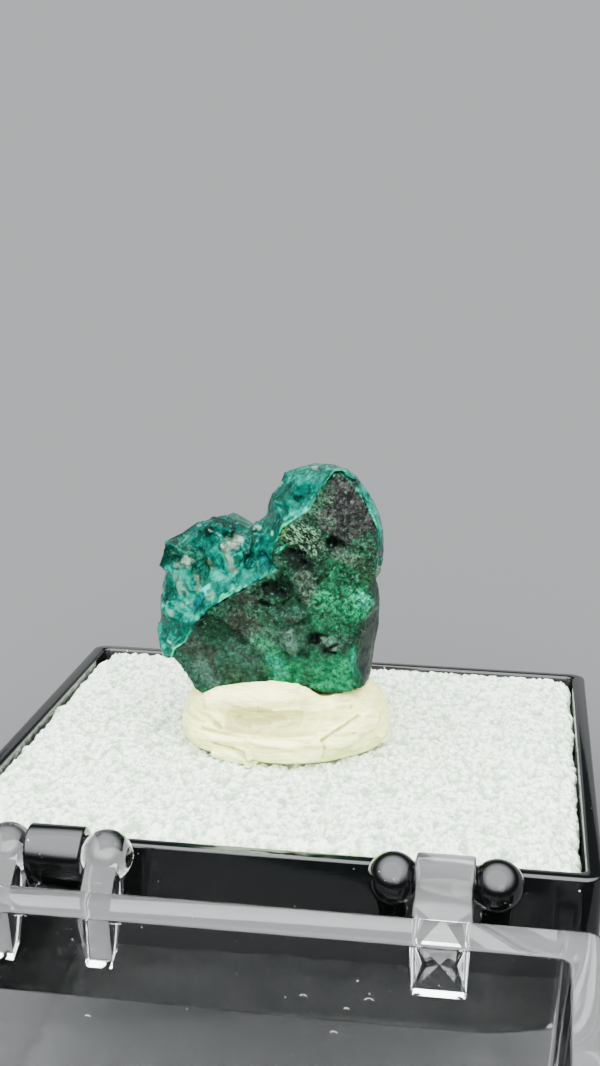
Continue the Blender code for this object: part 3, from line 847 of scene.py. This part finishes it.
def make_putty():
    """The squashed lump: thumbed hollow on the front, rolled lip, creases, flakes and drawn streaks, with
    painted shade in the hollow, the creases and the streaks' low lines and painted highlights on the raised
    parts.
    """
    putty = copy_of("mineral_putty", "putty", STONE_PLACE)
    remesh(putty, PUTTY_FINENESS)
    apply(putty, "SMOOTH", factor=0.5, iterations=14)
    points, normals = vertices_of(putty), vertices_of(putty, "normal")
    colours = primed(points, paint(250, 250, 162))
    uneven = grain(points, 0.9, 2, seed=6.0)
    colours, lift = lay_strokes(points, colours, PUTTY_PAINTS, PUTTY_STROKES, uneven * 0.4, reach=1.0)
    tilted = points @ np.array(Matrix.Rotation(math.radians(8), 3, "Y"))
    streaks = grain(tilted * (0.55, 0.8, 4.2), 1.0, 3, seed=7.0)
    side = fade(points[:, 2], 0.05, 0.4)
    streaked = side * fade(-normals[:, 1], 0.0, 0.5)
    lift += 0.07 * uneven * side + streaked * 0.055 * streaks
    lift += 0.10 * grain(points, 0.35, seed=8.0) * side
    move_to(putty, points + normals * lift[:, None])
    # Painted shade in the low lines of the streaks
    colours = blend(colours, fade(streaks, 0.0, -0.5) * streaked * 0.7, paint(196, 192, 118))
    keep_colours(putty, colours)
    apply(putty, "SMOOTH", factor=0.3, iterations=1)
    dress(putty, STONE_PLACE, ivory_putty())
    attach(putty, "base")
    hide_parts("mineral_putty")


ROCK_PAINTS = {
    "crest": mineral(84, 82, 82),
    "silver": mineral(140, 165, 145),
    "needle": mineral(70, 112, 84, 1.0),
    "black": mineral(8, 12, 12),
    "deep": mineral(8, 34, 26),
    "emerald": mineral(2, 66, 42),
    "brown": mineral(70, 72, 62),
    "meadow": mineral(40, 132, 92),
    "olive": mineral(58, 84, 58),
    "spring": mineral(56, 180, 128),
    "mint": mineral(110, 214, 176),
    "lime": mineral(140, 190, 120),
    "dim": mineral(70, 82, 78),
    "ash": mineral(80, 122, 104),
    "pale": mineral(130, 166, 148),
    "turquoise": mineral(36, 186, 152),
}

# Seen from the front: paint, two ends (x, z), radius, share, lift
# The black strokes sink pits and fill them with painted shade
ROCK_STROKES = (
    ("ash", (-6.2, 4.5), (-3.5, 4.4), 1.30, 0.6, 0.0),
    ("meadow", (2.4, 9.8), (1.5, 7.2), 1.30, 0.6, 0.0),
    ("meadow", (-1.0, 4.4), (2.5, 4.6), 1.10, 0.6, 0.0),
    ("crest", (2.0, 14.7), (2.9, 13.5), 0.75, 0.95, 0.0),
    ("crest", (1.3, 12.9), (2.4, 12.2), 0.71, 0.9, 0.0),
    ("crest", (1.5, 13.7), (3.2, 13.0), 0.66, 0.9, 0.0),
    ("crest", (3.2, 13.2), (3.7, 12.5), 0.38, 0.7, 0.0),
    ("silver", (0.7, 12.9), (1.4, 12.6), 0.33, 0.6, 0.0),
    ("needle", (-0.8, 11.9), (0.6, 11.3), 0.55, 0.95, 0.0),
    ("needle", (-0.3, 12.3), (0.4, 11.8), 0.38, 0.9, 0.0),
    ("black", (1.4, 11.4), (1.9, 11.2), 0.33, 1.0, -0.35),
    ("deep", (-0.8, 10.7), (-0.2, 10.2), 0.44, 0.9, -0.15),
    ("emerald", (-1.1, 9.1), (-0.7, 8.3), 0.55, 0.9, -0.15),
    ("deep", (-1.9, 8.7), (-0.9, 8.8), 0.44, 0.9, -0.25),
    ("black", (-2.2, 8.1), (-1.9, 8.0), 0.19, 1.0, -0.25),
    ("black", (-2.5, 8.6), (-2.4, 8.5), 0.14, 0.9, -0.15),
    ("brown", (-3.2, 8.4), (-2.5, 8.2), 0.44, 0.6, 0.0),
    ("silver", (-0.1, 9.4), (0.7, 8.4), 0.44, 0.5, 0.03),
    ("silver", (1.9, 10.9), (2.8, 10.6), 0.38, 0.6, 0.04),
    ("olive", (3.1, 10.4), (3.7, 9.6), 0.33, 0.7, 0.0),
    ("spring", (1.2, 8.4), (2.6, 8.2), 0.66, 0.8, 0.04),
    ("spring", (2.5, 8.7), (3.4, 8.1), 0.55, 1.0, 0.07),
    ("mint", (3.1, 8.6), (3.5, 8.4), 0.33, 1.0, 0.05),
    ("dim", (2.1, 8.7), (2.2, 8.6), 0.19, 0.9, -0.03),
    ("emerald", (-5.0, 6.7), (-4.3, 6.3), 0.56, 1.0, -0.14),
    ("brown", (-3.5, 7.2), (-2.7, 6.8), 0.60, 0.75, 0.0),
    ("brown", (-6.0, 6.8), (-5.3, 7.2), 0.19, 0.9, 0.0),
    ("brown", (-4.8, 4.8), (-4.4, 3.9), 0.16, 0.8, -0.03),
    ("olive", (-3.9, 4.4), (-3.2, 3.9), 0.49, 0.6, 0.0),
    ("pale", (-2.4, 6.1), (-1.7, 5.7), 0.38, 0.6, 0.05),
    ("pale", (-0.7, 6.4), (-0.4, 5.9), 0.33, 0.8, 0.08),
    ("pale", (-2.6, 6.4), (-0.5, 6.2), 0.50, 0.25, 0.0),
    ("deep", (-3.6, 6.2), (-3.1, 5.9), 0.24, 0.6, -0.1),
    ("deep", (-0.2, 7.0), (0.3, 7.3), 0.20, 0.6, -0.1),
    ("brown", (-0.7, 7.3), (-0.3, 7.3), 0.27, 0.6, 0.02),
    ("deep", (0.6, 6.3), (1.3, 6.3), 0.26, 0.9, -0.2),
    ("black", (0.8, 6.2), (1.2, 6.4), 0.10, 1.0, -0.15),
    ("deep", (0.1, 5.4), (0.4, 5.4), 0.16, 0.7, -0.1),
    ("pale", (1.2, 6.1), (1.9, 6.0), 0.27, 0.7, 0.1),
    ("black", (1.3, 5.6), (1.9, 5.6), 0.06, 1.0, -0.15),
    ("dim", (2.0, 6.5), (2.4, 6.4), 0.22, 0.5, 0.0),
    ("turquoise", (-1.5, 5.1), (-1.0, 4.3), 0.33, 0.7, 0.03),
    ("turquoise", (2.9, 5.9), (2.8, 4.8), 0.16, 0.8, 0.03),
    ("deep", (-2.3, 4.5), (-1.9, 4.1), 0.27, 0.8, 0.0),
    ("brown", (-6.2, 5.6), (-5.0, 5.1), 0.45, 0.6, 0.0),
    ("pale", (-5.4, 4.6), (-4.7, 3.7), 0.36, 0.45, 0.0),
    ("brown", (-6.3, 6.3), (-5.7, 5.8), 0.27, 0.5, 0.0),
    ("dim", (-3.6, 5.6), (-2.6, 5.0), 0.33, 0.5, 0.0),
    ("spring", (0.9, 4.6), (2.4, 5.0), 0.49, 0.8, 0.04),
    ("spring", (1.1, 3.9), (2.5, 4.1), 0.44, 0.8, 0.03),
    ("spring", (-1.0, 4.0), (0.0, 4.5), 0.44, 0.6, 0.0),
    ("needle", (0.3, 13.1), (1.3, 13.7), 0.27, 0.4, 0.0),
    ("deep", (-2.2, 8.2), (-1.2, 7.6), 0.22, 0.7, -0.1),
    ("ash", (-1.4, 7.7), (-0.1, 7.6), 0.27, 0.5, 0.0),
    ("spring", (-2.3, 6.1), (-1.4, 5.6), 0.27, 0.6, 0.0),
    # A painted shadow under the ledge of the needle patch
    ("black", (-0.8, 10.9), (0.0, 10.8), 0.09, 1.0, -0.3),
    ("black", (-0.4, 10.7), (0.0, 10.3), 0.11, 0.9, -0.2),
    ("black", (1.2, 11.6), (1.6, 11.4), 0.07, 1.0, -0.25),
    ("black", (-2.2, 8.9), (-1.7, 9.3), 0.12, 0.9, -0.2),
    ("black", (-1.4, 8.7), (-1.0, 8.4), 0.11, 0.9, -0.2),
    ("black", (-1.0, 8.1), (-0.6, 8.5), 0.09, 0.9, -0.15),
    ("black", (-2.7, 8.5), (-2.4, 8.9), 0.08, 0.9, -0.15),
    ("black", (0.7, 6.3), (1.2, 5.9), 0.11, 0.9, -0.2),
    ("black", (1.3, 5.7), (2.0, 6.1), 0.07, 0.9, -0.2),
    ("black", (0.8, 9.3), (1.1, 9.6), 0.08, 0.8, -0.1),
    ("pale", (1.2, 6.2), (1.7, 6.3), 0.19, 0.7, 0.1),
    ("lime", (-1.4, 11.7), (-1.1, 12.1), 0.16, 0.8, 0.03),
    ("lime", (-0.7, 12.6), (0.3, 13.1), 0.08, 0.7, 0.03),
    ("turquoise", (-1.4, 10.9), (-1.1, 11.2), 0.14, 0.9, 0.03),
    ("mint", (-0.3, 12.7), (0.3, 13.8), 0.06, 0.8, 0.05),
    ("mint", (0.3, 13.8), (0.9, 15.0), 0.06, 0.9, 0.05),
    ("mint", (0.9, 15.0), (1.9, 15.1), 0.06, 0.9, 0.05),
    ("mint", (1.9, 15.1), (3.0, 14.0), 0.06, 0.9, 0.05),
    ("mint", (3.0, 14.0), (3.7, 12.8), 0.05, 0.8, 0.05),
)

SLAB_STROKES = (
    ("turquoise", (3.9, 7.8), (4.2, 7.4), 0.08, 0.9, 0.0),
    ("turquoise", (4.2, 7.4), (4.1, 6.6), 0.07, 0.9, 0.0),
)


# What is left of the light of the colours brushed on the rock
ROCK_TONE = 0.77


def make_rock():
    """The broken matrix: chipped and pitted all over, brushed with its greens and greys, with painted shade
    in the chips' hollows and the pits and painted light on their raised parts.
    """
    rock = copy_of("host_rock", "rock", STONE_PLACE)
    remesh(rock, ROCK_FINENESS)
    points, normals = vertices_of(rock), vertices_of(rock, "normal")
    height = points[:, 2]
    lumps = grain(points, 0.8, 3, seed=1.0)
    coarse, coarse_shade = chips(points, 0.55, seed=2.0)
    small, small_shade = chips(points, 0.24, seed=3.0)

    # The grey slab behind the front layer is smoother than the rest
    slab = fade(points[:, 1] - height * FACE_LEAN - FACE_FRONT, 0.45, 0.75)
    rough = 1 - slab * 0.7
    colours = primed(points, mineral(46, 88, 66))
    colours = blend(colours, fade(lumps, -0.1, -0.5) * 0.8, mineral(14, 46, 34))
    colours = blend(colours, fade(lumps, 0.1, 0.6) * 0.6, mineral(84, 126, 102))
    colours, lift = lay_strokes(points, colours, ROCK_PAINTS, ROCK_STROKES, lumps, reach=-0.4)
    colours = blend(colours, slab, mineral(58, 68, 70))
    colours, _ = lay_strokes(points, colours, ROCK_PAINTS, SLAB_STROKES, lumps, reach=2.5)
    # Painted shade and light from the chips: darker where they sink, lighter where they rise, with a random
    # tone for each chip
    chipped = 0.9 * small + 0.7 * coarse + 0.35 * coarse_shade + 0.6 * small_shade
    light = 1 + chipped * rough * (0.75 + 0.25 * fade(height, 5.0, 9.0))
    colours[:, :3] *= ROCK_TONE * np.clip(light, 0.15, 2.2)[:, None]
    lift = np.where(lift > 0, lift * 0.5, lift * 1.3)
    lift += rough * (0.08 * lumps + 0.13 * coarse + 0.13 * small + 0.04 * coarse_shade)

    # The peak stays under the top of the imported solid
    lift -= 0.08 * fade(height, 14.2, 14.9)
    move_to(rock, points + normals * lift[:, None])
    keep_colours(rock, colours)
    dress(rock, STONE_PLACE, green_grey_rock())
    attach(rock, "base")
    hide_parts("host_rock")


# Painted light among the crust's paints: sheen is painted sheen and glint is painted glint from light inside
# the crystals; the near-white paint is both pale crystal and painted highlights and glints; pink_white is
# the blocks' pale colour partly with painted pinkish reflections
CRUST_PAINTS = {
    "glass_green": mineral(34, 88, 68, 0.6),
    "sheen": mineral(130, 178, 156, 0.2),
    "deep_green": mineral(0, 42, 26, 0.8),
    "dark_teal": mineral(0, 96, 84, 0.7),
    "blue_teal": mineral(0, 140, 150, 0.6),
    "teal": mineral(0, 142, 126, 0.5),
    "bright_teal": mineral(0, 186, 170, 0.3),
    "glint": mineral(0, 236, 226, 0.0),
    "recess": mineral(70, 116, 96, 0.3),
    "pink_white": mineral(206, 204, 190, 0.0),
    "pale_cyan": mineral(104, 208, 192, 0.1),
    "ice": mineral(214, 240, 226, 0.0),
    "mint": mineral(96, 214, 156, 0.0),
}

# Seen from the front: paint, two ends (x, z), radius, share, lift
CRUST_STROKES = (
    ("glass_green", (-7.5, 10.3), (-6.4, 11.0), 0.50, 0.95, 0.0),
    ("deep_green", (-8.1, 10.2), (-6.4, 11.4), 0.14, 0.8, 0.0),
    # Painted sheen along the blade's striations
    ("sheen", (-7.2, 10.45), (-6.6, 11.0), 0.05, 0.7, 0.03),
    ("sheen", (-6.95, 10.4), (-6.4, 10.95), 0.04, 0.7, 0.03),
    ("sheen", (-7.6, 10.1), (-7.1, 10.3), 0.05, 0.6, 0.02),
    ("deep_green", (-7.8, 9.9), (-7.0, 10.1), 0.12, 0.8, -0.05),
    ("deep_green", (-5.9, 11.4), (-5.0, 11.9), 0.42, 1.0, 0.0),
    ("deep_green", (-5.0, 11.9), (-4.1, 11.4), 0.44, 1.0, 0.0),
    # A painted highlight line along the dome's lower side
    ("ice", (-5.4, 11.55), (-4.7, 11.30), 0.035, 0.9, 0.03),
    ("ice", (-6.25, 11.5), (-6.15, 11.55), 0.07, 0.8, 0.0),
    ("recess", (-6.0, 10.2), (-5.4, 8.9), 0.30, 1.0, -0.12),
    ("recess", (-6.6, 10.4), (-5.9, 10.3), 0.15, 0.9, -0.05),
    ("sheen", (-6.6, 10.55), (-6.0, 10.6), 0.04, 0.6, 0.02),
    ("pale_cyan", (-7.2, 9.0), (-6.4, 8.3), 0.66, 0.9, 0.0),
    ("ice", (-7.0, 9.0), (-6.6, 8.4), 0.30, 0.5, 0.0),
    ("bright_teal", (-6.6, 9.4), (-6.3, 8.9), 0.26, 0.8, 0.0),
    ("teal", (-7.8, 8.9), (-7.5, 8.0), 0.18, 0.8, 0.0),
    ("pink_white", (-7.2, 9.65), (-6.9, 9.7), 0.16, 0.8, 0.04),
    ("pink_white", (-6.5, 9.95), (-6.3, 9.85), 0.22, 0.9, 0.08),
    ("pink_white", (-5.9, 9.1), (-5.8, 8.4), 0.12, 0.7, 0.04),
    ("pink_white", (-7.0, 8.6), (-6.9, 8.1), 0.15, 0.5, 0.02),
    ("ice", (-8.15, 7.8), (-8.1, 7.7), 0.12, 0.8, 0.03),
    ("pale_cyan", (-4.8, 10.4), (-3.9, 9.8), 0.52, 0.85, 0.0),
    ("ice", (-4.3, 10.4), (-4.0, 9.9), 0.24, 0.5, 0.0),
    ("teal", (-5.2, 10.9), (-4.8, 10.9), 0.24, 0.8, 0.0),
    ("bright_teal", (-4.9, 10.3), (-4.7, 9.9), 0.22, 0.9, 0.0),
    ("pink_white", (-4.45, 11.0), (-3.85, 10.9), 0.25, 0.95, 0.08),
    ("pink_white", (-4.35, 10.6), (-4.05, 10.2), 0.16, 0.7, 0.03),
    ("recess", (-3.75, 10.3), (-3.7, 10.0), 0.10, 0.7, -0.03),
    ("pale_cyan", (-3.50, 10.5), (-3.45, 9.9), 0.08, 0.8, 0.04),
    ("pink_white", (-4.0, 9.7), (-3.7, 9.55), 0.13, 0.8, 0.03),
    ("pink_white", (-5.3, 9.9), (-5.0, 9.5), 0.13, 0.6, 0.02),
    ("dark_teal", (-4.6, 10.1), (-4.5, 9.5), 0.06, 0.9, -0.08),
    ("pale_cyan", (-5.2, 9.2), (-4.2, 9.2), 0.22, 0.7, 0.0),
    ("bright_teal", (-4.8, 9.0), (-4.3, 8.9), 0.16, 0.6, 0.0),
    ("deep_green", (-3.2, 11.4), (-3.1, 9.9), 0.24, 0.95, -0.12),
    ("ice", (-3.05, 11.65), (-2.85, 11.70), 0.15, 1.0, 0.05),
    ("ice", (-2.65, 11.25), (-2.5, 11.3), 0.05, 0.9, 0.03),
    ("ice", (-1.9, 11.7), (-1.9, 11.6), 0.05, 0.9, 0.03),
    ("bright_teal", (-2.7, 10.7), (-2.4, 10.1), 0.27, 0.8, 0.0),
    # A painted glint line
    ("ice", (-2.8, 10.2), (-2.5, 9.8), 0.04, 0.8, 0.03),
    ("blue_teal", (-2.4, 10.6), (-2.0, 10.0), 0.16, 0.8, -0.05),
    ("teal", (-4.0, 8.8), (-2.7, 9.6), 0.24, 0.8, 0.0),
    ("pale_cyan", (-3.8, 8.8), (-3.7, 8.8), 0.10, 0.8, 0.0),
    ("glint", (-5.5, 8.3), (-5.2, 8.7), 0.13, 1.0, 0.0),
    ("blue_teal", (-6.0, 7.5), (-5.6, 8.1), 0.16, 0.9, -0.08),
    ("pink_white", (-5.2, 8.05), (-4.95, 8.25), 0.13, 0.6, 0.03),
    ("mint", (-4.9, 8.0), (-4.9, 7.9), 0.11, 0.9, 0.03),
    ("mint", (-5.7, 7.0), (-5.7, 7.0), 0.10, 0.9, 0.03),
    ("pale_cyan", (-7.7, 7.1), (-6.5, 7.2), 0.44, 0.8, 0.0),
    ("ice", (-7.6, 7.1), (-7.2, 6.9), 0.12, 0.5, 0.02),
    ("ice", (-6.6, 7.5), (-6.2, 7.6), 0.12, 0.4, 0.02),
    ("teal", (-7.4, 7.5), (-7.2, 7.3), 0.10, 0.8, -0.04),
    ("dark_teal", (-8.2, 7.5), (-7.8, 7.4), 0.16, 0.9, -0.08),
    ("pale_cyan", (-6.4, 6.8), (-6.0, 7.0), 0.16, 0.8, 0.0),
    ("teal", (-8.0, 5.9), (-6.6, 6.1), 0.44, 0.9, -0.05),
    ("bright_teal", (-7.6, 4.9), (-7.0, 4.8), 0.30, 0.85, 0.0),
    ("bright_teal", (-8.2, 5.6), (-7.6, 4.6), 0.25, 0.7, 0.22),
    ("ice", (-7.5, 5.4), (-7.15, 5.4), 0.035, 0.8, 0.0),
    # A painted highlight on the left edge of the peak
    ("ice", (-2.1, 13.5), (-1.7, 14.1), 0.05, 0.8, 0.0),
    ("pale_cyan", (-1.4, 14.3), (-1.3, 14.3), 0.12, 0.7, 0.0),
    ("dark_teal", (-1.6, 13.3), (-1.2, 12.7), 0.18, 0.7, -0.05),
    ("dark_teal", (-1.0, 13.6), (-0.4, 13.5), 0.18, 0.7, -0.05),
    ("glint", (-0.4, 12.8), (0.0, 13.1), 0.14, 1.0, 0.0),
    ("pale_cyan", (-1.2, 12.5), (-0.6, 12.9), 0.06, 0.8, 0.03),
    ("ice", (0.0, 15.1), (0.3, 15.1), 0.06, 0.8, 0.0),
    ("pale_cyan", (0.9, 15.3), (1.9, 15.3), 0.09, 0.7, 0.0),
    ("bright_teal", (2.8, 14.4), (3.7, 13.6), 0.22, 0.8, 0.0),
    ("bright_teal", (3.4, 13.4), (4.0, 12.1), 0.19, 0.8, 0.0),
)

# The large crystals of the left lobe: name, middle, size, turn in degrees
LOBE = (
    ("blade", (-6.95, 0.42, 10.50), (2.2, 0.9, 0.75), (42, -33, 32)),
    ("dome", (-4.90, 0.45, 11.35), (1.7, 1.4, 1.2), (20, 15, 10)),
    ("left_block", (-6.45, -0.95, 9.15), (1.35, 0.9, 1.7), (4, -8, -20)),
    ("right_block", (-4.00, -0.75, 10.35), (0.95, 0.9, 1.4), (-6, 5, 12)),
    ("low_block", (-6.95, -0.70, 7.30), (1.5, 0.9, 0.9), (10, -14, -15)),
    ("saddle_block", (-2.90, 0.90, 11.70), (0.42, 0.5, 0.42), (8, 10, 15)),
)

# What is left of the red, green and blue that are brushed on the crust
CRUST_TONE = (0.7, 0.92, 0.82)


def make_crystals():
    """The dioptase crust: its crystals grown together, chipped and brushed with its teals, with painted
    light and shade on the chips.
    """
    crust = copy_of("dioptase_crystals", "crystals", STONE_PLACE)
    lobe = [crystal(*row) for row in LOBE]
    only(crust)
    for grown in lobe:
        grown.select_set(True)
    bpy.ops.object.join()
    remesh(crust, CRUST_FINENESS)
    points, normals = vertices_of(crust), vertices_of(crust, "normal")
    depth = points[:, 1] - points[:, 2] * FACE_LEAN - FACE_FRONT
    lumps = grain(points, 1.1, 3, seed=4.0)
    coarse, coarse_shade = chips(points, 0.9, seed=5.0)
    uphill = points @ np.array(Matrix.Rotation(UPHILL, 3, "Y")).T
    streaks = grain(uphill * (0.7, 1.6, 2.6), 1.0, 3, seed=6.0)
    ragged = grain(points, 2.4, 3, seed=9.0)
    colours = primed(points, mineral(0, 142, 128, 0.5))
    colours = blend(colours, fade(lumps, 0.0, -0.5) * 0.8, mineral(0, 92, 80, 0.7))
    colours = blend(colours, fade(lumps, 0.1, 0.6) * 0.6, mineral(0, 182, 168, 0.4))
    colours, lift = lay_strokes(points, colours, CRUST_PAINTS, CRUST_STROKES, ragged, reach=1.4)

    # A bright mint line where the crust ends on the rock
    border = fade(depth + 0.20 * lumps + 0.16 * ragged, 0.26, 0.14)
    colours = blend(colours, border * 0.95, mineral(116, 226, 180, 0.0))
    green = colours[:, 1]
    pale = 0.44 + 0.20 * fade(green, 0.02, 0.07) + 0.30 * fade(green, 0.10, 0.18)
    # Painted light on the chips: their raised parts lighter, and each chip with a painted brightness of its
    # own for the light caught inside it
    colours[:, :3] *= (pale * (1 + coarse_shade * 0.3 + coarse * 0.3))[:, None] * CRUST_TONE

    # The front is broken up, least where it is clearest, the back stays smooth and the top low
    broken = fade(points[:, 1], 1.2, 0.0) * (1 - 0.6 * fade(colours[:, 3], 0.50, 0.60))
    lift += broken * (0.06 * coarse + 0.06 * lumps + 0.06 * streaks + 0.02 * ragged) + 0.02 * coarse
    lift -= 0.06 * fade(points[:, 2], 14.8, 15.3)
    move_to(crust, points + normals * lift[:, None])
    keep_colours(crust, colours)
    dress(crust, STONE_PLACE, teal_dioptase())
    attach(crust, "base")
    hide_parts("dioptase_crystals")


# Stage

# Two soft lamps: place, width and power; the rest of the light comes from the bright upper world
LAMPS = (
    ("overhead", (-0.012, -0.040, 0.165), 0.30, 0.45),
    ("front", (0.10, -0.22, 0.20), 0.16, 0.15),
)
LAMP_AIM = Vector((0, 0.01, 0.015))
WORLD_GLOW = (("From Min", 0.2), ("From Max", 0.9), ("To Min", 0.07), ("To Max", 8.6))
FLOOR_TONE = (0.065, 0.065, 0.065, 1.0)


def make_floor():
    floor = add(bpy.ops.mesh.primitive_plane_add, size=3.0, location=(0, 0, -0.00005))
    floor.name = "floor"
    f = Finish("pale_floor")
    matt = f.principled({"Base Color": FLOOR_TONE, "Roughness": 0.9})
    floor.data.materials.append(f.output(matt))


def make_light():
    """A world that is dim at the horizon and bright overhead, and the lamps."""
    world = bpy.data.worlds.new("studio")
    bpy.context.scene.world = world
    world.use_nodes = True
    nodes, links = world.node_tree.nodes, world.node_tree.links
    split = nodes.new("ShaderNodeSeparateXYZ")
    links.new(nodes.new("ShaderNodeTexCoord").outputs["Generated"], split.inputs[0])
    glow = nodes.new("ShaderNodeMapRange")
    glow.interpolation_type = "SMOOTHERSTEP"
    links.new(split.outputs["Z"], glow.inputs["Value"])
    for socket, value in WORLD_GLOW:
        glow.inputs[socket].default_value = value
    nodes["Background"].inputs["Color"].default_value = (0.95, 0.98, 1.0, 1.0)
    links.new(glow.outputs["Result"], nodes["Background"].inputs["Strength"])

    for name, spot, size, power in LAMPS:
        lamp = add(bpy.ops.object.light_add, type="AREA", location=spot)
        lamp.name = name
        lamp.data.shape = "DISK"
        lamp.data.size = size
        lamp.data.energy = power
        lamp.rotation_euler = (LAMP_AIM - Vector(spot)).to_track_quat("-Z", "Y").to_euler()


# The camera in the tray's frame: millimetres, degrees, and pixels of the photograph
CAMERA_SPOT = (11.04737, -68.42869, 30.61144)
CAMERA_PITCH, CAMERA_YAW, CAMERA_ROLL = 12.42644, -7.55299, 1.35006
FOCAL_PIXELS, PHOTO_WIDTH = 1657.5536, 600
SENSOR_WIDTH = 36.0


def make_camera():
    """The camera stands where the box's rims, walls and hinges line up with the photograph."""
    pitch, yaw, roll = (math.radians(a) for a in (CAMERA_PITCH, CAMERA_YAW, CAMERA_ROLL))
    ahead = Vector((math.sin(yaw) * math.cos(pitch), math.cos(yaw) * math.cos(pitch), -math.sin(pitch)))
    right = Vector((math.cos(yaw), -math.sin(yaw), 0))
    up = right.cross(ahead)
    turned_right = math.cos(roll) * right + math.sin(roll) * up
    turned_up = math.cos(roll) * up - math.sin(roll) * right
    spot = Vector(CAMERA_SPOT) * MM
    in_tray = Matrix.Translation(spot) @ Matrix((turned_right, turned_up, -ahead)).transposed().to_4x4()
    camera = add(bpy.ops.object.camera_add)
    camera.matrix_world = HINGE_PLACE @ LEAN @ in_tray
    camera.data.sensor_fit = "HORIZONTAL"
    camera.data.sensor_width = SENSOR_WIDTH
    camera.data.lens = SENSOR_WIDTH * FOCAL_PIXELS / PHOTO_WIDTH
    camera.data.clip_start = 0.002
    camera.data.clip_end = 10.0
    bpy.context.scene.camera = camera


make_camera()
make_floor()
make_light()
make_tray()
make_lid()
make_foam()
make_putty()
make_rock()
make_crystals()
